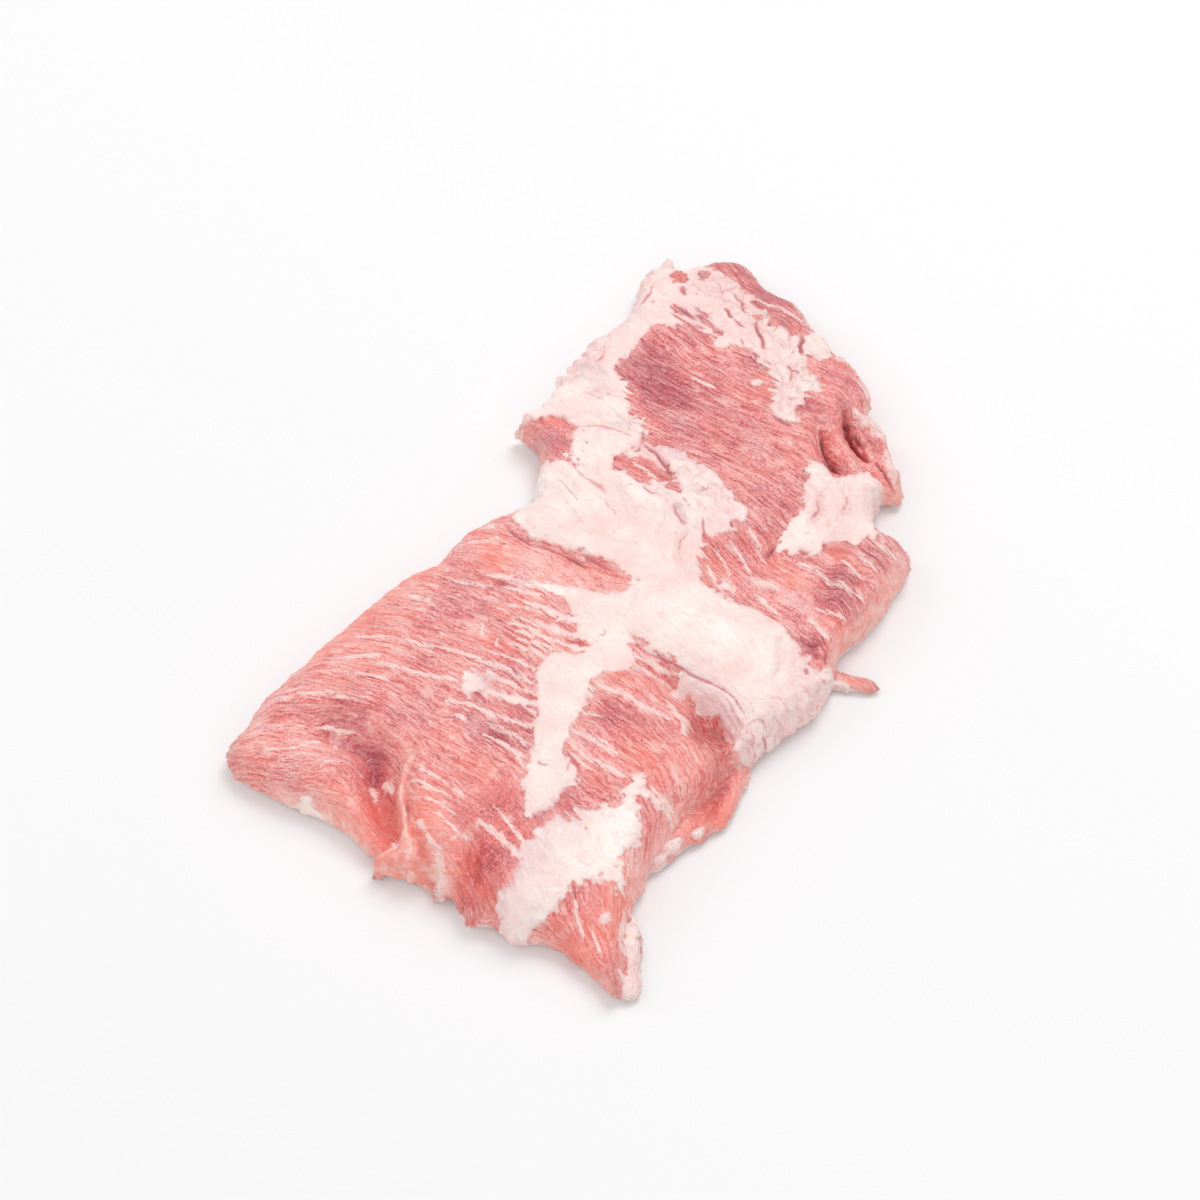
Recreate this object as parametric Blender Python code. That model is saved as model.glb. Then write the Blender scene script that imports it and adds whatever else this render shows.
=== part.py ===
"""Pork secreto: a thin raw cut of pork with its fat cover, lying flat, as one closed solid.

The cut lies on the plane z = 0 with its length along Y: the broad end is at -Y and the narrow
end at +Y. Places on the cut are read in millimetres on a plan grid of its own, and BOX_CENTRE is
the middle of the cut's box on that grid, which becomes the part's origin.
"""

from math import cos, radians, sin

import bmesh
import bpy
import numpy as np
from mathutils import Vector, geometry, noise

MM = 0.001
BOX_CENTRE = (3.2, 15.7)

# Driving dimensions, in millimetres
BODY_HEIGHT = 13.5      # usual thickness of the cut
SEAM_HEIGHT = 3.0       # height at which the rim stands out farthest
UNDER_ROUND = 3.6       # width of the rounding between the rim and the flat underside
RIM_STEP = 3.2          # spacing of the points along a rim
TOP_STEP = 3.6          # spacing of the points on the upper face
UNDER_STEP = 7.5        # spacing of the points on the underside
TOP_RINGS = (0.5, 1.6, 3.6)
UNDER_RINGS = (0.5, 1.8, 3.6)
TIP_SWELL = 0.3         # half the thickness at the middle of a sharp tip
SHEET_EDGE = 2.5        # width of the step at the edge of a sheet of fat
UNEVENNESS = 0.9        # height and width of the soft unevenness of the upper face
UNEVEN_SIZE = 14.0
NARROW_VALLEY = 4       # valleys up to this width get lines of points of their own
GUIDE_STEP = 2.2
BANKS = (-1.3, 0, 0.8)  # places of those lines across a valley, in widths of its two sides
SCRAP_SEAM = 0.4        # seam height and rounding of a scrap, as shares of its thickness
SCRAP_ROUND = 0.5
SCRAP_RINGS = (0.8,)

# Layout of the points, as shares of a ring's distance or of the grid's step
RING_CLEAR = 0.93
GRID_CLEAR = 0.6
ROW_SPACING = 0.866
INSIDE_ONLY = 1         # the triangulation keeps the triangles inside the rim
SAME_PLACE = 1e-5

# Rims, clockwise from above: x, y and the width over which the upper face curves down to the rim
BODY_RIM = [
    # narrow end
    (-27.5, 149, 4), (-22, 152, 5), (-17.5, 158, 5), (-10, 161.5, 6), (-5, 159.5, 6),
    (1.5, 153.5, 6), (8.5, 149.5, 6), (14.5, 148, 6), (20, 142.5, 5), (23.5, 136.5, 4),
    (30.5, 131.5, 4), (34.5, 126, 5), (40.5, 124.5, 6), (43.5, 120, 6), (49.5, 115.5, 5),
    (51, 109.5, 4), (51.5, 103.5, 4),
    # outer side of the pocket
    (57, 99, 4), (61, 95, 4), (63.5, 89.5, 4), (67.5, 83.5, 4), (72, 78, 4), (71.5, 73.5, 3),
    (67.5, 73, 3), (64, 69.5, 3), (65.5, 63.5, 4), (67, 58, 4),
    # side lobe
    (71, 53, 4), (77.5, 54.5, 4), (81, 52, 6), (82.5, 45, 7), (81, 36, 8), (80, 28, 8),
    (77.5, 18, 7), (74, 10, 5),
    # edge of the fat sheet
    (72, 3, 4), (74, -6, 3), (73.5, -12, 3), (72.5, -17, 3), (69.5, -22.5, 3),
    (66.5, -27.5, 3), (63.5, -33.5, 3), (61, -40, 4),
    # right side of the broad end, above the under strip
    (56.5, -46, 6), (55, -54, 7), (52.5, -62, 8), (49, -68, 8), (48, -76, 8), (46.5, -84, 8),
    (47, -93, 8), (46.5, -101.5, 7), (46.5, -108, 6), (49.5, -117, 5), (52.5, -130, 4),
    # front edge
    (46, -127, 8), (38.5, -123.5, 10), (33, -120.5, 11), (26, -120.5, 12), (20, -123, 12),
    (12, -119.5, 10), (5, -122, 9), (0.5, -115.5, 8), (-8, -110, 8), (-15, -112, 7),
    (-21, -111.5, 6), (-25, -109.5, 6), (-31, -107, 8), (-37, -104, 9), (-44, -101.5, 10),
    (-54, -100, 11), (-66, -98, 12), (-75, -95.5, 13), (-80.5, -90, 13), (-79.5, -80, 13),
    # left side
    (-78, -68, 12), (-74.5, -57.5, 13), (-71.5, -46.5, 14), (-68, -36, 14), (-64, -25.5, 14),
    (-60, -14.5, 13), (-56.5, -7.5, 12), (-51.5, -3, 11), (-49.5, 8, 10), (-45, 17, 9),
    (-40.5, 23.5, 8), (-36, 28, 7), (-33, 31.5, 6), (-35.5, 39, 6), (-38, 49, 5),
    (-41, 56, 5), (-46.5, 61, 4), (-47, 66, 4), (-44.5, 74, 5), (-45.5, 86, 6),
    (-42.5, 93.5, 6), (-43, 101, 6), (-39.5, 110, 5), (-35, 119, 5), (-35, 127, 5),
    (-35.5, 137.5, 4), (-34.5, 145.5, 3),
]

# Scraps that hang on the body's edge: thickness and rim
SCRAPS = {
    "under strip": (4.5, [
        (60, -38, 2), (61.5, -46, 2), (62, -54, 2), (62, -61, 2), (61, -65.5, 2), (58, -67.5, 2),
        (56.5, -72, 2), (53.5, -74, 2), (51.5, -79, 2), (49, -84, 2), (46, -87, 2), (42, -80, 2),
        (44, -66, 2), (49, -50, 2), (53, -40, 2)]),
    "tip strip": (4.0, [
        (46, -101.5, 2), (49, -104, 2), (51.5, -108, 2), (54, -114, 2), (55, -120, 2),
        (58, -126.5, 2), (53, -129, 2), (47, -124, 2), (44, -112, 2)]),
    "thread": (3.0, [
        (69, 3, 1), (75, 2.2, 1), (82, 2.6, 1), (87, 1, 1), (86.5, -1.5, 1), (81, -3, 1),
        (74, -5, 1), (68, -7, 1)]),
    "tuft": (3.5, [
        (-30, 140, 1), (-34, 146, 1), (-34.5, 152, 1), (-32.5, 156.5, 1), (-29.5, 154, 1),
        (-27, 150, 1), (-24, 146, 1)]),
    "front tag": (3.0, [
        (-17, -106, 1), (-20, -110, 1), (-23.5, -114.5, 1), (-26, -115, 1), (-25, -110, 1),
        (-24, -104, 1)]),
    "front scrap": (3.5, [
        (-2, -108, 1), (-4, -114.5, 1), (-9, -113.5, 1), (-13, -112.5, 1), (-14, -106, 1)]),
}

# Swellings of the upper face: x, y, half-length, half-width, turn in degrees, height
HUMPS = {
    "left shoulder": (-50, -42, 34, 22, 60, 1.5),
    "left corner": (-66, -84, 20, 16, 0, -1.5),
    "front roll": (-13, -97, 24, 11, -58, 4.0),
    "middle of the broad end": (12, -50, 34, 30, 0, 2.5),
    "front right": (26, -104, 18, 20, 0, 0.5),
    "tip": (46, -122, 18, 13, -60, -5.0),
    "fat saddle": (26, -4, 46, 14, -14, 3.0),
    "waist": (-32, 38, 14, 18, 0, -2.0),
    "middle of the narrow end": (2, 92, 34, 34, 0, 1.0),
    "thin end": (-2, 152, 34, 20, -20, -4.5),
    "thin left edge": (-40, 118, 12, 34, 10, -2.5),
    "side lobe": (71, 29, 12, 20, 8, 2.5),
    "pocket band": (50, 82, 14, 5, -55, 0.5),
    "side edge of the fat": (70, -12, 10, 16, 0, -2.0),
}

# Valleys of the upper face: width towards the front, width towards the back, depth, path
VALLEYS = {
    "front valley": (8, 6, 6.0, [
        (-52, -75), (-43, -77), (-39, -81), (-35, -88), (-28, -96), (-22, -107)]),
    "front crease": (4, 4, 3.0, [(-1, -100), (1, -108), (6, -118)]),
    "side hollow": (7, 4, 6.0, [(35, -27.5), (41, -31), (47, -35), (52, -39)]),
    "fat lip": (4, 2, 1.5, [(17, -18), (26, -21.5), (33, -22), (47, -25.5), (57, -32)]),
    "saddle crease": (3, 3, 1.2, [(-36, 16), (-28, 10.5), (-14, 8.5), (-6, 4.5)]),
    "inner slit": (2, 5, 4.0, [(40, 89), (42, 84), (44, 79), (47, 75), (51, 70.5)]),
    "outer slit": (2, 7, 6.0, [(45, 101), (47, 96), (49, 91), (53, 85), (58, 79)]),
    "lobe step": (3, 3, 1.2, [(58, 40), (59, 33), (61, 26), (64, 12)]),
    "slit in the middle flake": (1.5, 2, 1.5, [(-8, 61.5), (-3, 58.5), (5, 51)]),
}

# Sheets of fat that stand above the lean: height above it, and the outline from above
FAT_SHEETS = {
    "saddle": (1.3, [
        (-38, 47), (-28, 49), (-14, 48), (-4, 44), (8, 46), (20, 36), (24, 24), (29, 11),
        (40, 5), (56, 2), (66, -5), (76, -9), (75, -20), (66, -31), (57, -37), (46, -29),
        (34, -24), (17, -18), (12, -30), (0, -33), (3, -16), (-6, -8), (9, 1), (4, 8),
        (-10, 11), (-27, 14), (-36, 18), (-28, 25), (-36, 31)]),
    "tongue": (1.8, [
        (0, -33), (12, -30), (12, -60), (20, -70), (17, -83), (11, -89), (6, -78), (1, -60),
        (-5, -40)]),
    "left fat": (1.3, [
        (-40, 66), (-38, 76), (-33, 82), (-24, 81), (-18, 72), (-9, 66), (-9, 57), (-14, 54),
        (-14, 48), (-29, 49), (-30, 63)]),
    "middle flake": (1.3, [
        (-4, 60), (10, 60), (18, 57), (32, 44), (28, 34), (20, 36), (8, 46), (4, 52)]),
    "side fat": (1.6, [
        (41, 72.5), (51, 70.5), (57, 71.5), (64, 71), (67, 62), (71, 47), (69, 41), (57, 40),
        (56, 35), (45, 31), (46, 50), (43, 65)]),
    "top fat": (1.0, [
        (-16, 151), (-8, 150), (3, 138), (11, 129), (25, 128), (33, 121), (28, 113), (34, 104),
        (33, 84), (26, 87), (22, 100), (13, 109), (0, 112), (-8, 122), (-22, 127), (-20, 138)]),
    "front fat": (1.0, [
        (33, -66), (37, -70), (41, -90), (44, -100), (31, -106), (30, -115), (24, -119),
        (19, -121), (14, -117), (15, -99), (17, -90), (28, -80), (31, -72)]),
}


def smooth_loop(points, step):
    """Points every `step` along a closed Catmull-Rom curve through the given ones."""
    points = np.array(points, float)
    curve = []
    for i in range(len(points)):
        before, start, end, after = (points[(i + k) % len(points)] for k in (-1, 0, 1, 2))
        pieces = max(1, round(np.linalg.norm((end - start)[:2]) / step))
        for t in np.arange(pieces) / pieces:
            curve.append(0.5 * (2 * start + (end - before) * t
                                + (2 * before - 5 * start + 4 * end - after) * t ** 2
                                + (3 * start - before - 3 * end + after) * t ** 3))
    return np.array(curve)


def distance_to_path(points, path, closed=False):
    """Distance of each point to a path, the side it lies on, and its place along the path."""
    ends = np.roll(path, -1, axis=0) if closed else path[1:]
    starts = path if closed else path[:-1]
    along = ends - starts
    offset = points[:, None, :] - starts[None]
    share = np.clip((offset * along).sum(2) / (along ** 2).sum(1), 0, 1)
    gap = offset - share[..., None] * along
    distance = np.hypot(gap[..., 0], gap[..., 1])
    nearest = distance.argmin(1)
    rows = np.arange(len(points))
    side = along[nearest, 0] * gap[rows, nearest, 1] - along[nearest, 1] * gap[rows, nearest, 0]
    return distance[rows, nearest], side, nearest + share[rows, nearest]


def inside_distance(points, outline):
    """Distance of each point inside a closed outline, negative outside it."""
    start = np.array(outline, float)
    end = np.roll(start, -1, axis=0)
    x, y = points[:, :1], points[:, 1:]
    spans = (start[:, 1] > y) != (end[:, 1] > y)
    rise = np.where(start[:, 1] == end[:, 1], 1, end[:, 1] - start[:, 1])
    crossing = start[:, 0] + (y - start[:, 1]) / rise * (end[:, 0] - start[:, 0])
    within = (spans & (x < crossing)).sum(1) % 2 == 1
    distance = distance_to_path(points, start, closed=True)[0]
    return np.where(within, distance, -distance)


def body_height(points):
    """Height of the body's upper face, away from its rim."""
    height = np.full(len(points), BODY_HEIGHT)
    height += [UNEVENNESS * noise.noise((x / UNEVEN_SIZE, y / UNEVEN_SIZE, 0)) for x, y in points]
    for x, y, half_length, half_width, turn, rise in HUMPS.values():
        dx, dy = (points - (x, y)).T
        along = (dx * cos(radians(turn)) + dy * sin(radians(turn))) / half_length
        across = (dy * cos(radians(turn)) - dx * sin(radians(turn))) / half_width
        height += rise * np.exp(-(along ** 2 + across ** 2))
    for front_width, back_width, depth, path in VALLEYS.values():
        distance, side, _ = distance_to_path(points, np.array(path, float))
        width = np.where(side > 0, back_width, front_width)
        height -= depth * np.exp(-(distance / width) ** 2)
    for rise, outline in FAT_SHEETS.values():
        share = np.clip(inside_distance(points, outline) / SHEET_EDGE + 0.5, 0, 1)
        height += rise * share ** 2 * (3 - 2 * share)
    return height


def level_height(level):
    """A height function for a scrap, whose upper face is flat."""
    return lambda points: np.full(len(points), float(level))


def points_inside(rim, rings, step, guides=()):
    """Rings of points just inside a rim, then guide points, then a grid over the rest."""
    outline = rim[:, :2]
    forward = np.roll(outline, -1, axis=0) - np.roll(outline, 1, axis=0)
    inward = np.stack([forward[:, 1], -forward[:, 0]], 1)
    inward /= np.linalg.norm(inward, axis=1)[:, None]
    chosen = []
    for ring in rings:
        shifted = outline + inward * ring
        clear = distance_to_path(shifted, outline, closed=True)[0] > RING_CLEAR * ring
        chosen.append(shifted[clear])
    low, high = outline.min(0), outline.max(0)
    grid = []
    for row, y in enumerate(np.arange(low[1], high[1], step * ROW_SPACING)):
        x = np.arange(low[0] + (row % 2) * step / 2, high[0], step)
        grid.append(np.stack([x, np.full(len(x), y)], 1))
    grid = np.concatenate(grid)
    for guide in guides:
        chosen.append(guide[inside_distance(guide, outline) > rings[-1]])
        grid = grid[distance_to_path(grid, guide)[0] > GRID_CLEAR * step]
    chosen.append(grid[inside_distance(grid, outline) > rings[-1] + GRID_CLEAR * step])
    return np.concatenate(chosen)


def valley_guides():
    """Lines of points along the narrow valleys and on their banks, so that they stay sharp."""
    guides = []
    for front_width, back_width, _, path in VALLEYS.values():
        if front_width > NARROW_VALLEY:
            continue
        path = np.array(path, float)
        lengths = np.hypot(*np.diff(path, axis=0).T)
        stations = np.append(0, np.cumsum(lengths))
        along = np.linspace(0, stations[-1], max(2, round(stations[-1] / GUIDE_STEP)))
        line = np.stack([np.interp(along, stations, path[:, k]) for k in (0, 1)], 1)
        forward = np.gradient(line, axis=0)
        left = np.stack([-forward[:, 1], forward[:, 0]], 1)
        left /= np.linalg.norm(left, axis=1)[:, None]
        for bank in BANKS:
            width = front_width if bank < 0 else back_width
            guides.append(line + left * bank * width)
    return guides


def rounded(distance, width):
    """Rise of a quarter ellipse from 0 at the rim to 1 at `width` inside it."""
    inside = np.clip(distance / width, 0, 1)
    return np.sqrt(1 - (1 - inside) ** 2)


def half_shell(mesh, rim, rim_verts, inner, heights, upward):
    """One face of a slab: the rim and the points inside it, joined into triangles."""
    plan = [Vector(point) for point in rim[:, :2]] + [Vector(point) for point in inner]
    edges = [(i, (i + 1) % len(rim)) for i in range(len(rim))]
    _, _, faces, sources, _, _ = geometry.delaunay_2d_cdt(
        plan, edges, [], INSIDE_ONLY, SAME_PLACE)
    verts = rim_verts + [mesh.verts.new((x, y, z)) for (x, y), z in zip(inner, heights)]
    for face in faces:
        corners = [verts[sources[i][0]] for i in face]
        if not upward:
            corners.reverse()
        if max(sources[i][0] for i in face) >= len(rim):
            mesh.faces.new(corners)
            continue
        # three points of the rim at a sharp tip: the two faces are kept apart by a point between
        middle = sum((corner.co for corner in corners), Vector()) / 3
        middle.z += TIP_SWELL if upward else -TIP_SWELL
        peak = mesh.verts.new(middle)
        for i in range(3):
            mesh.faces.new((corners[i], corners[(i + 1) % 3], peak))


def slab(name, rim_points, height_of, seam=SEAM_HEIGHT, under_round=UNDER_ROUND,
         top_rings=TOP_RINGS, under_rings=UNDER_RINGS, guides=()):
    """A closed slab on the plane z = 0, with rounded edges round its rim."""
    rim = smooth_loop(rim_points, RIM_STEP)
    mesh = bmesh.new()
    rim_verts = [mesh.verts.new((x, y, seam)) for x, y, _ in rim]

    top = points_inside(rim, top_rings, TOP_STEP, guides)
    distance, _, place = distance_to_path(top, rim[:, :2], closed=True)
    width = np.interp(place, np.arange(len(rim) + 1), np.append(rim[:, 2], rim[0, 2]))
    heights = seam + (height_of(top) - seam) * rounded(distance, width)
    half_shell(mesh, rim, rim_verts, top, heights, upward=True)

    under = points_inside(rim, under_rings, UNDER_STEP)
    distance = distance_to_path(under, rim[:, :2], closed=True)[0]
    heights = seam * (1 - rounded(distance, under_round))
    half_shell(mesh, rim, rim_verts, under, heights, upward=False)

    bmesh.ops.translate(mesh, verts=mesh.verts, vec=(-BOX_CENTRE[0], -BOX_CENTRE[1], 0))
    bmesh.ops.scale(mesh, verts=mesh.verts, vec=(MM, MM, MM))
    data = bpy.data.meshes.new(name)
    mesh.to_mesh(data)
    mesh.free()
    piece = bpy.data.objects.new(name, data)
    bpy.context.scene.collection.objects.link(piece)
    return piece


def scrap(name, thickness, rim_points):
    """A thin scrap that hangs on the body's edge and lies on the plane z = 0."""
    return slab(name, rim_points, level_height(thickness), seam=SCRAP_SEAM * thickness,
                under_round=SCRAP_ROUND * thickness, top_rings=SCRAP_RINGS,
                under_rings=SCRAP_RINGS)


def join(body, pieces):
    """One solid from the body and the pieces that hang on it."""
    group = bpy.data.collections.new("joined pieces")
    bpy.context.scene.collection.children.link(group)
    for piece in pieces:
        group.objects.link(piece)
    union = body.modifiers.new("Union", "BOOLEAN")
    union.operation = "UNION"
    union.operand_type = "COLLECTION"
    union.collection = group
    bpy.context.view_layer.objects.active = body
    bpy.ops.object.modifier_apply(modifier=union.name)
    for piece in pieces:
        bpy.data.objects.remove(piece)
    bpy.data.collections.remove(group)


def meat_material():
    """Raw pork: pink, moist and not metallic."""
    material = bpy.data.materials.new("raw pork")
    material.use_nodes = True
    shader = material.node_tree.nodes["Principled BSDF"]
    shader.inputs["Base Color"].default_value = (0.72, 0.27, 0.26, 1)
    shader.inputs["Roughness"].default_value = 0.45
    shader.inputs["Metallic"].default_value = 0.0
    return material


for thing in list(bpy.data.objects):
    bpy.data.objects.remove(thing)

secreto = slab("secreto", BODY_RIM, body_height, guides=valley_guides())
join(secreto, [scrap(name, *form) for name, form in SCRAPS.items()])
secreto.data.materials.append(meat_material())
secreto.data.shade_smooth()
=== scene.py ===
"""Pork secreto: a thin raw cut of pork, lean meat with its fat cover, lying on a white surface."""

from math import cos, radians, sin

import bpy
import numpy as np
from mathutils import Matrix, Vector, noise


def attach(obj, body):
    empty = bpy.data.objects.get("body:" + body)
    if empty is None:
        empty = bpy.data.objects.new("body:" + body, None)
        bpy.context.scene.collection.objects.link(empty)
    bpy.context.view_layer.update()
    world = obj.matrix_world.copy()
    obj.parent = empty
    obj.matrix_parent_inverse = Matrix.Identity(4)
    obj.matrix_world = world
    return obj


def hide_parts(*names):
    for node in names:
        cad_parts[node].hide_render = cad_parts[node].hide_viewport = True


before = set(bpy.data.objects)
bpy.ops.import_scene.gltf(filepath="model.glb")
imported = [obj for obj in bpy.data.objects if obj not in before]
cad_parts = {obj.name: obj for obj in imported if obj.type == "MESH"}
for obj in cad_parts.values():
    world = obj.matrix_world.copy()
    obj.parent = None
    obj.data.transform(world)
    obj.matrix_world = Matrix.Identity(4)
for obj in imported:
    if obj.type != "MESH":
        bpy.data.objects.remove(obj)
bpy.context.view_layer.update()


# The white surface and the light
# The cut lies on a plain white table. A large soft box hangs above and behind it, two more
# fill in from the left and the front, and the white room round them lights the rest.

MM = 0.001
TABLE_SIZE = 6.0
TABLE_WHITE = (0.896, 0.890, 0.896, 1)
TABLE_ROUGHNESS = 0.6
SOFT_BOXES = {              # place in metres, size in metres, power in watts
    "overhead": ((0.20, 1.05, 1.60), 1.1, 15.0),
    "left": ((-1.20, -0.10, 0.85), 1.3, 4.0),
    "front": ((0.55, -1.30, 0.90), 1.5, 5.0),
}
ROOM_WHITE = (1, 1, 1, 1)
ROOM_LIGHT = 0.61

bpy.ops.mesh.primitive_plane_add(size=TABLE_SIZE)
table = bpy.context.object
table.name = "white_table"
table_paint = bpy.data.materials.new("white table")
table_paint.use_nodes = True
table_shader = table_paint.node_tree.nodes["Principled BSDF"]
table_shader.inputs["Base Color"].default_value = TABLE_WHITE
table_shader.inputs["Roughness"].default_value = TABLE_ROUGHNESS
table.data.materials.append(table_paint)

for name, (place, size, power) in SOFT_BOXES.items():
    aim = Vector(place).to_track_quat("Z", "Y").to_euler()
    bpy.ops.object.light_add(type="AREA", location=place, rotation=aim)
    bpy.context.object.name = name + "_soft_box"
    bpy.context.object.data.energy = power
    bpy.context.object.data.size = size

room = bpy.data.worlds.new("white room")
room.use_nodes = True
room_glow = room.node_tree.nodes["Background"]
room_glow.inputs["Color"].default_value = ROOM_WHITE
room_glow.inputs["Strength"].default_value = ROOM_LIGHT
bpy.context.scene.world = room
bpy.context.scene.view_settings.view_transform = "Standard"


# The camera
# It looks down on the cut from its broad end, a little from the right, and the narrow end is
# away from it.

VIEW_TURN = radians(20)
VIEW_HEIGHT = radians(47)
VIEW_DISTANCE = 0.89
VIEW_LENS = 90
LOOK_AT = Vector((-3.2, -15.7, 8)) * MM

towards_camera = Vector((sin(VIEW_TURN) * cos(VIEW_HEIGHT),
                         -cos(VIEW_TURN) * cos(VIEW_HEIGHT), sin(VIEW_HEIGHT)))
bpy.ops.object.camera_add(location=LOOK_AT + towards_camera * VIEW_DISTANCE,
                          rotation=towards_camera.to_track_quat("Z", "Y").to_euler())
camera = bpy.context.object
camera.data.lens = VIEW_LENS
bpy.context.scene.camera = camera


# The meat
# One soft piece of lean, flat below. Its mesh starts as a copy of the solid, which is made even
# and fine on the upper side and coarse on the flat underside, where it lies on the table.
# Places on it are in millimetres on the plan grid on which the cut was measured.

GRID_CENTRE = np.array([3.2, 15.7])
SAME_PLACE = 1e-6
FINE_STEP = 0.60 * MM
SOFTEN_ROUNDS = 18
UNDERSIDE_HEIGHT = 0.4      # mm, up to which points count as the underside
UNDERSIDE_KEPT = 0.06       # share of the underside's faces that is kept
UNDERSIDE_GRID = 4.0        # mm between the points of the underside that all stay
SHOULDER_HEIGHT = 13.0      # mm, below which a side's slope is unrolled onto the plan
UPPER_FROM = -0.65          # the upward part of a normal at which the worked surface begins,
UPPER_FULL = -0.40          # and at which it is there in full


def apply_modifiers(thing):
    """Make all of a piece's modifiers part of its mesh."""
    while thing.modifiers:
        bpy.ops.object.modifier_apply(modifier=thing.modifiers[0].name)


def vertex_array(mesh, field="co"):
    """The vertices' places or normals, as an array."""
    values = np.zeros(len(mesh.vertices) * 3, np.float32)
    mesh.vertices.foreach_get(field, values)
    return values.reshape(-1, 3).astype(float)


cut = bpy.data.objects.new("pork_cut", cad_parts["secreto"].data.copy())
bpy.context.scene.collection.objects.link(cut)
cut.data.materials.clear()
bpy.ops.object.select_all(action="DESELECT")
cut.select_set(True)
bpy.context.view_layer.objects.active = cut
bpy.ops.object.mode_set(mode="EDIT")
bpy.ops.mesh.select_all(action="SELECT")
bpy.ops.mesh.remove_doubles(threshold=SAME_PLACE)
bpy.ops.object.mode_set(mode="OBJECT")

even = cut.modifiers.new("Even", "REMESH")
even.mode = "VOXEL"
even.voxel_size = FINE_STEP
soften = cut.modifiers.new("Soften", "SMOOTH")
soften.iterations = SOFTEN_ROUNDS
apply_modifiers(cut)

even_shape = vertex_array(cut.data) / MM
on_table = even_shape[:, 2] < UNDERSIDE_HEIGHT
on_grid = (even_shape[:, :2] % UNDERSIDE_GRID < FINE_STEP / MM).all(1)
# Groups go by their names, because applying a modifier makes new ones in place of the old
for group_name, members in {"underside": on_table, "spare": on_table & ~on_grid}.items():
    group = cut.vertex_groups.new(name=group_name)
    group.add(np.flatnonzero(members).tolist(), 1, "REPLACE")
coarsen = cut.modifiers.new("Coarsen", "DECIMATE")
coarsen.ratio = 1 - (1 - UNDERSIDE_KEPT) * on_table.mean()
coarsen.vertex_group = "spare"
apply_modifiers(cut)

smooth_shape = vertex_array(cut.data) / MM
outward = vertex_array(cut.data, "normal")
plan = smooth_shape[:, :2] + GRID_CENTRE
drop = np.clip(SHOULDER_HEIGHT - smooth_shape[:, 2], 0, None)
unrolled = plan + outward[:, :2] * drop[:, None]
upper = np.clip((outward[:, 2] - UPPER_FROM) / (UPPER_FULL - UPPER_FROM), 0, 1)


# The grain
# The lean's muscle fibres run side by side in one direction, which turns from place to place:
# across the broad end, slanting down the narrow end, and round the folds at the front. Two
# coordinates follow them, one counting millimetres across the fibres and one along them.

GRAIN = [                   # x, y and direction in degrees
    # broad end, left
    (-72, -40, 15), (-66, -53, 22), (-60, -40, 14), (-50, -45, 12), (-50, -30, 4), (-40, -40, 4),
    (-30, -39, 0), (-35, -50, 2), (-20, -50, -3), (-35, -20, 0), (-50, -15, 6), (-35, -5, 0),
    (-20, -25, -4), (-40, 5, 4), (-44, 14, 20), (-10, 0, -5), (5, 0, -8), (-10, -12, -22),
    (-8, -19, -6), (0, -25, -4), (-10, -35, -28), (-6, -40, -35), (-15, -43, -16), (-5, -48, -22),
    (-10, -56, -8),
    # round the front valley
    (-70, -66, 14), (-60, -64, 16), (-50, -66, 2), (-42, -69, -18), (-36, -75, -42),
    (-30, -82, -58), (-26, -90, -62), (-21, -98, -58), (-62, -78, 34), (-66, -88, 24),
    (-57, -88, 30), (-50, -91, 45), (-46, -86, 20), (-40, -85, -30), (-39, -94, -5),
    (-28, -99, -50), (-60, -96, 8), (-45, -97, 0), (-36, -99, -12), (-32, -104, -28),
    (-76, -88, 30), (-74, -76, 20),
    # front roll
    (-20, -62, 6), (-10, -64, -8), (0, -66, -34), (4, -74, -50), (-18, -76, -14), (-8, -76, -12),
    (-16, -86, -4), (-14, -92, -2), (-10, -97, 0), (0, -86, -22), (6, -93, -42), (-12, -103, -14),
    (-2, -100, -30), (-8, -108, -20), (4, -106, -62), (6, -116, -72), (12, -104, -64),
    (12, -97, -35),
    # broad end, right
    (14, -36, -8), (24, -40, -5), (34, -42, -8), (20, -49, -10), (30, -56, -12), (22, -64, -12),
    (40, -50, -18), (46, -42, -50), (50, -50, -42), (47, -58, -30), (44, -66, -32), (40, -73, -42),
    (44, -82, -62), (45, -95, -72), (26, -72, -20), (24, -80, -28), (56, -60, -80),
    (34, -108, -52), (42, -112, -58), (48, -120, -62), (32, -119, -38),
    # narrow end, lean centre
    (-24, 108, -62), (-24, 98, -52), (-24, 90, -42), (-14, 112, -36), (-14, 98, -36),
    (-14, 86, -32), (-14, 76, -34), (-4, 112, -30), (-2, 98, -24), (-2, 84, -28), (-4, 70, -26),
    (10, 108, -18), (12, 95, -18), (12, 80, -16), (12, 68, -16), (24, 92, -16), (26, 78, -14),
    (26, 64, -18), (24, 56, -28), (38, 78, -16), (40, 66, -22), (38, 54, -32), (42, 44, -50),
    (38, 36, -54), (43, 32, -80), (30, 24, -46), (26, 18, -52), (36, 12, -58),
    # narrow end, edges
    (38, 112, -12), (44, 118, -24), (40, 102, -8), (36, 92, 14), (30, 110, -14), (-8, 154, -32),
    (2, 148, -32), (12, 142, -26), (18, 130, -50), (8, 138, -12), (-14, 123, -24), (-12, 50, -22),
    (-36, 56, -48), (-40, 90, -80), (-36, 130, -84),
    # side lobe and pocket
    (48, 24, -22), (56, 26, -12), (50, 12, -26), (60, 6, -34), (66, 34, -16), (74, 30, -22),
    (66, 22, -24), (72, 18, -32), (68, 10, -36), (74, 44, -14), (79, 30, -50), (48, 86, -56),
    (56, 80, -52), (56, 92, -48), (66, 82, -50), (70, 0, -80),
]
GRAIN_REACH = 5.0           # mm over which neighbouring directions blend
GRAIN_CELL = 2.0
GRAIN_AREA = (-110, 110, -160, 190)


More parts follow.
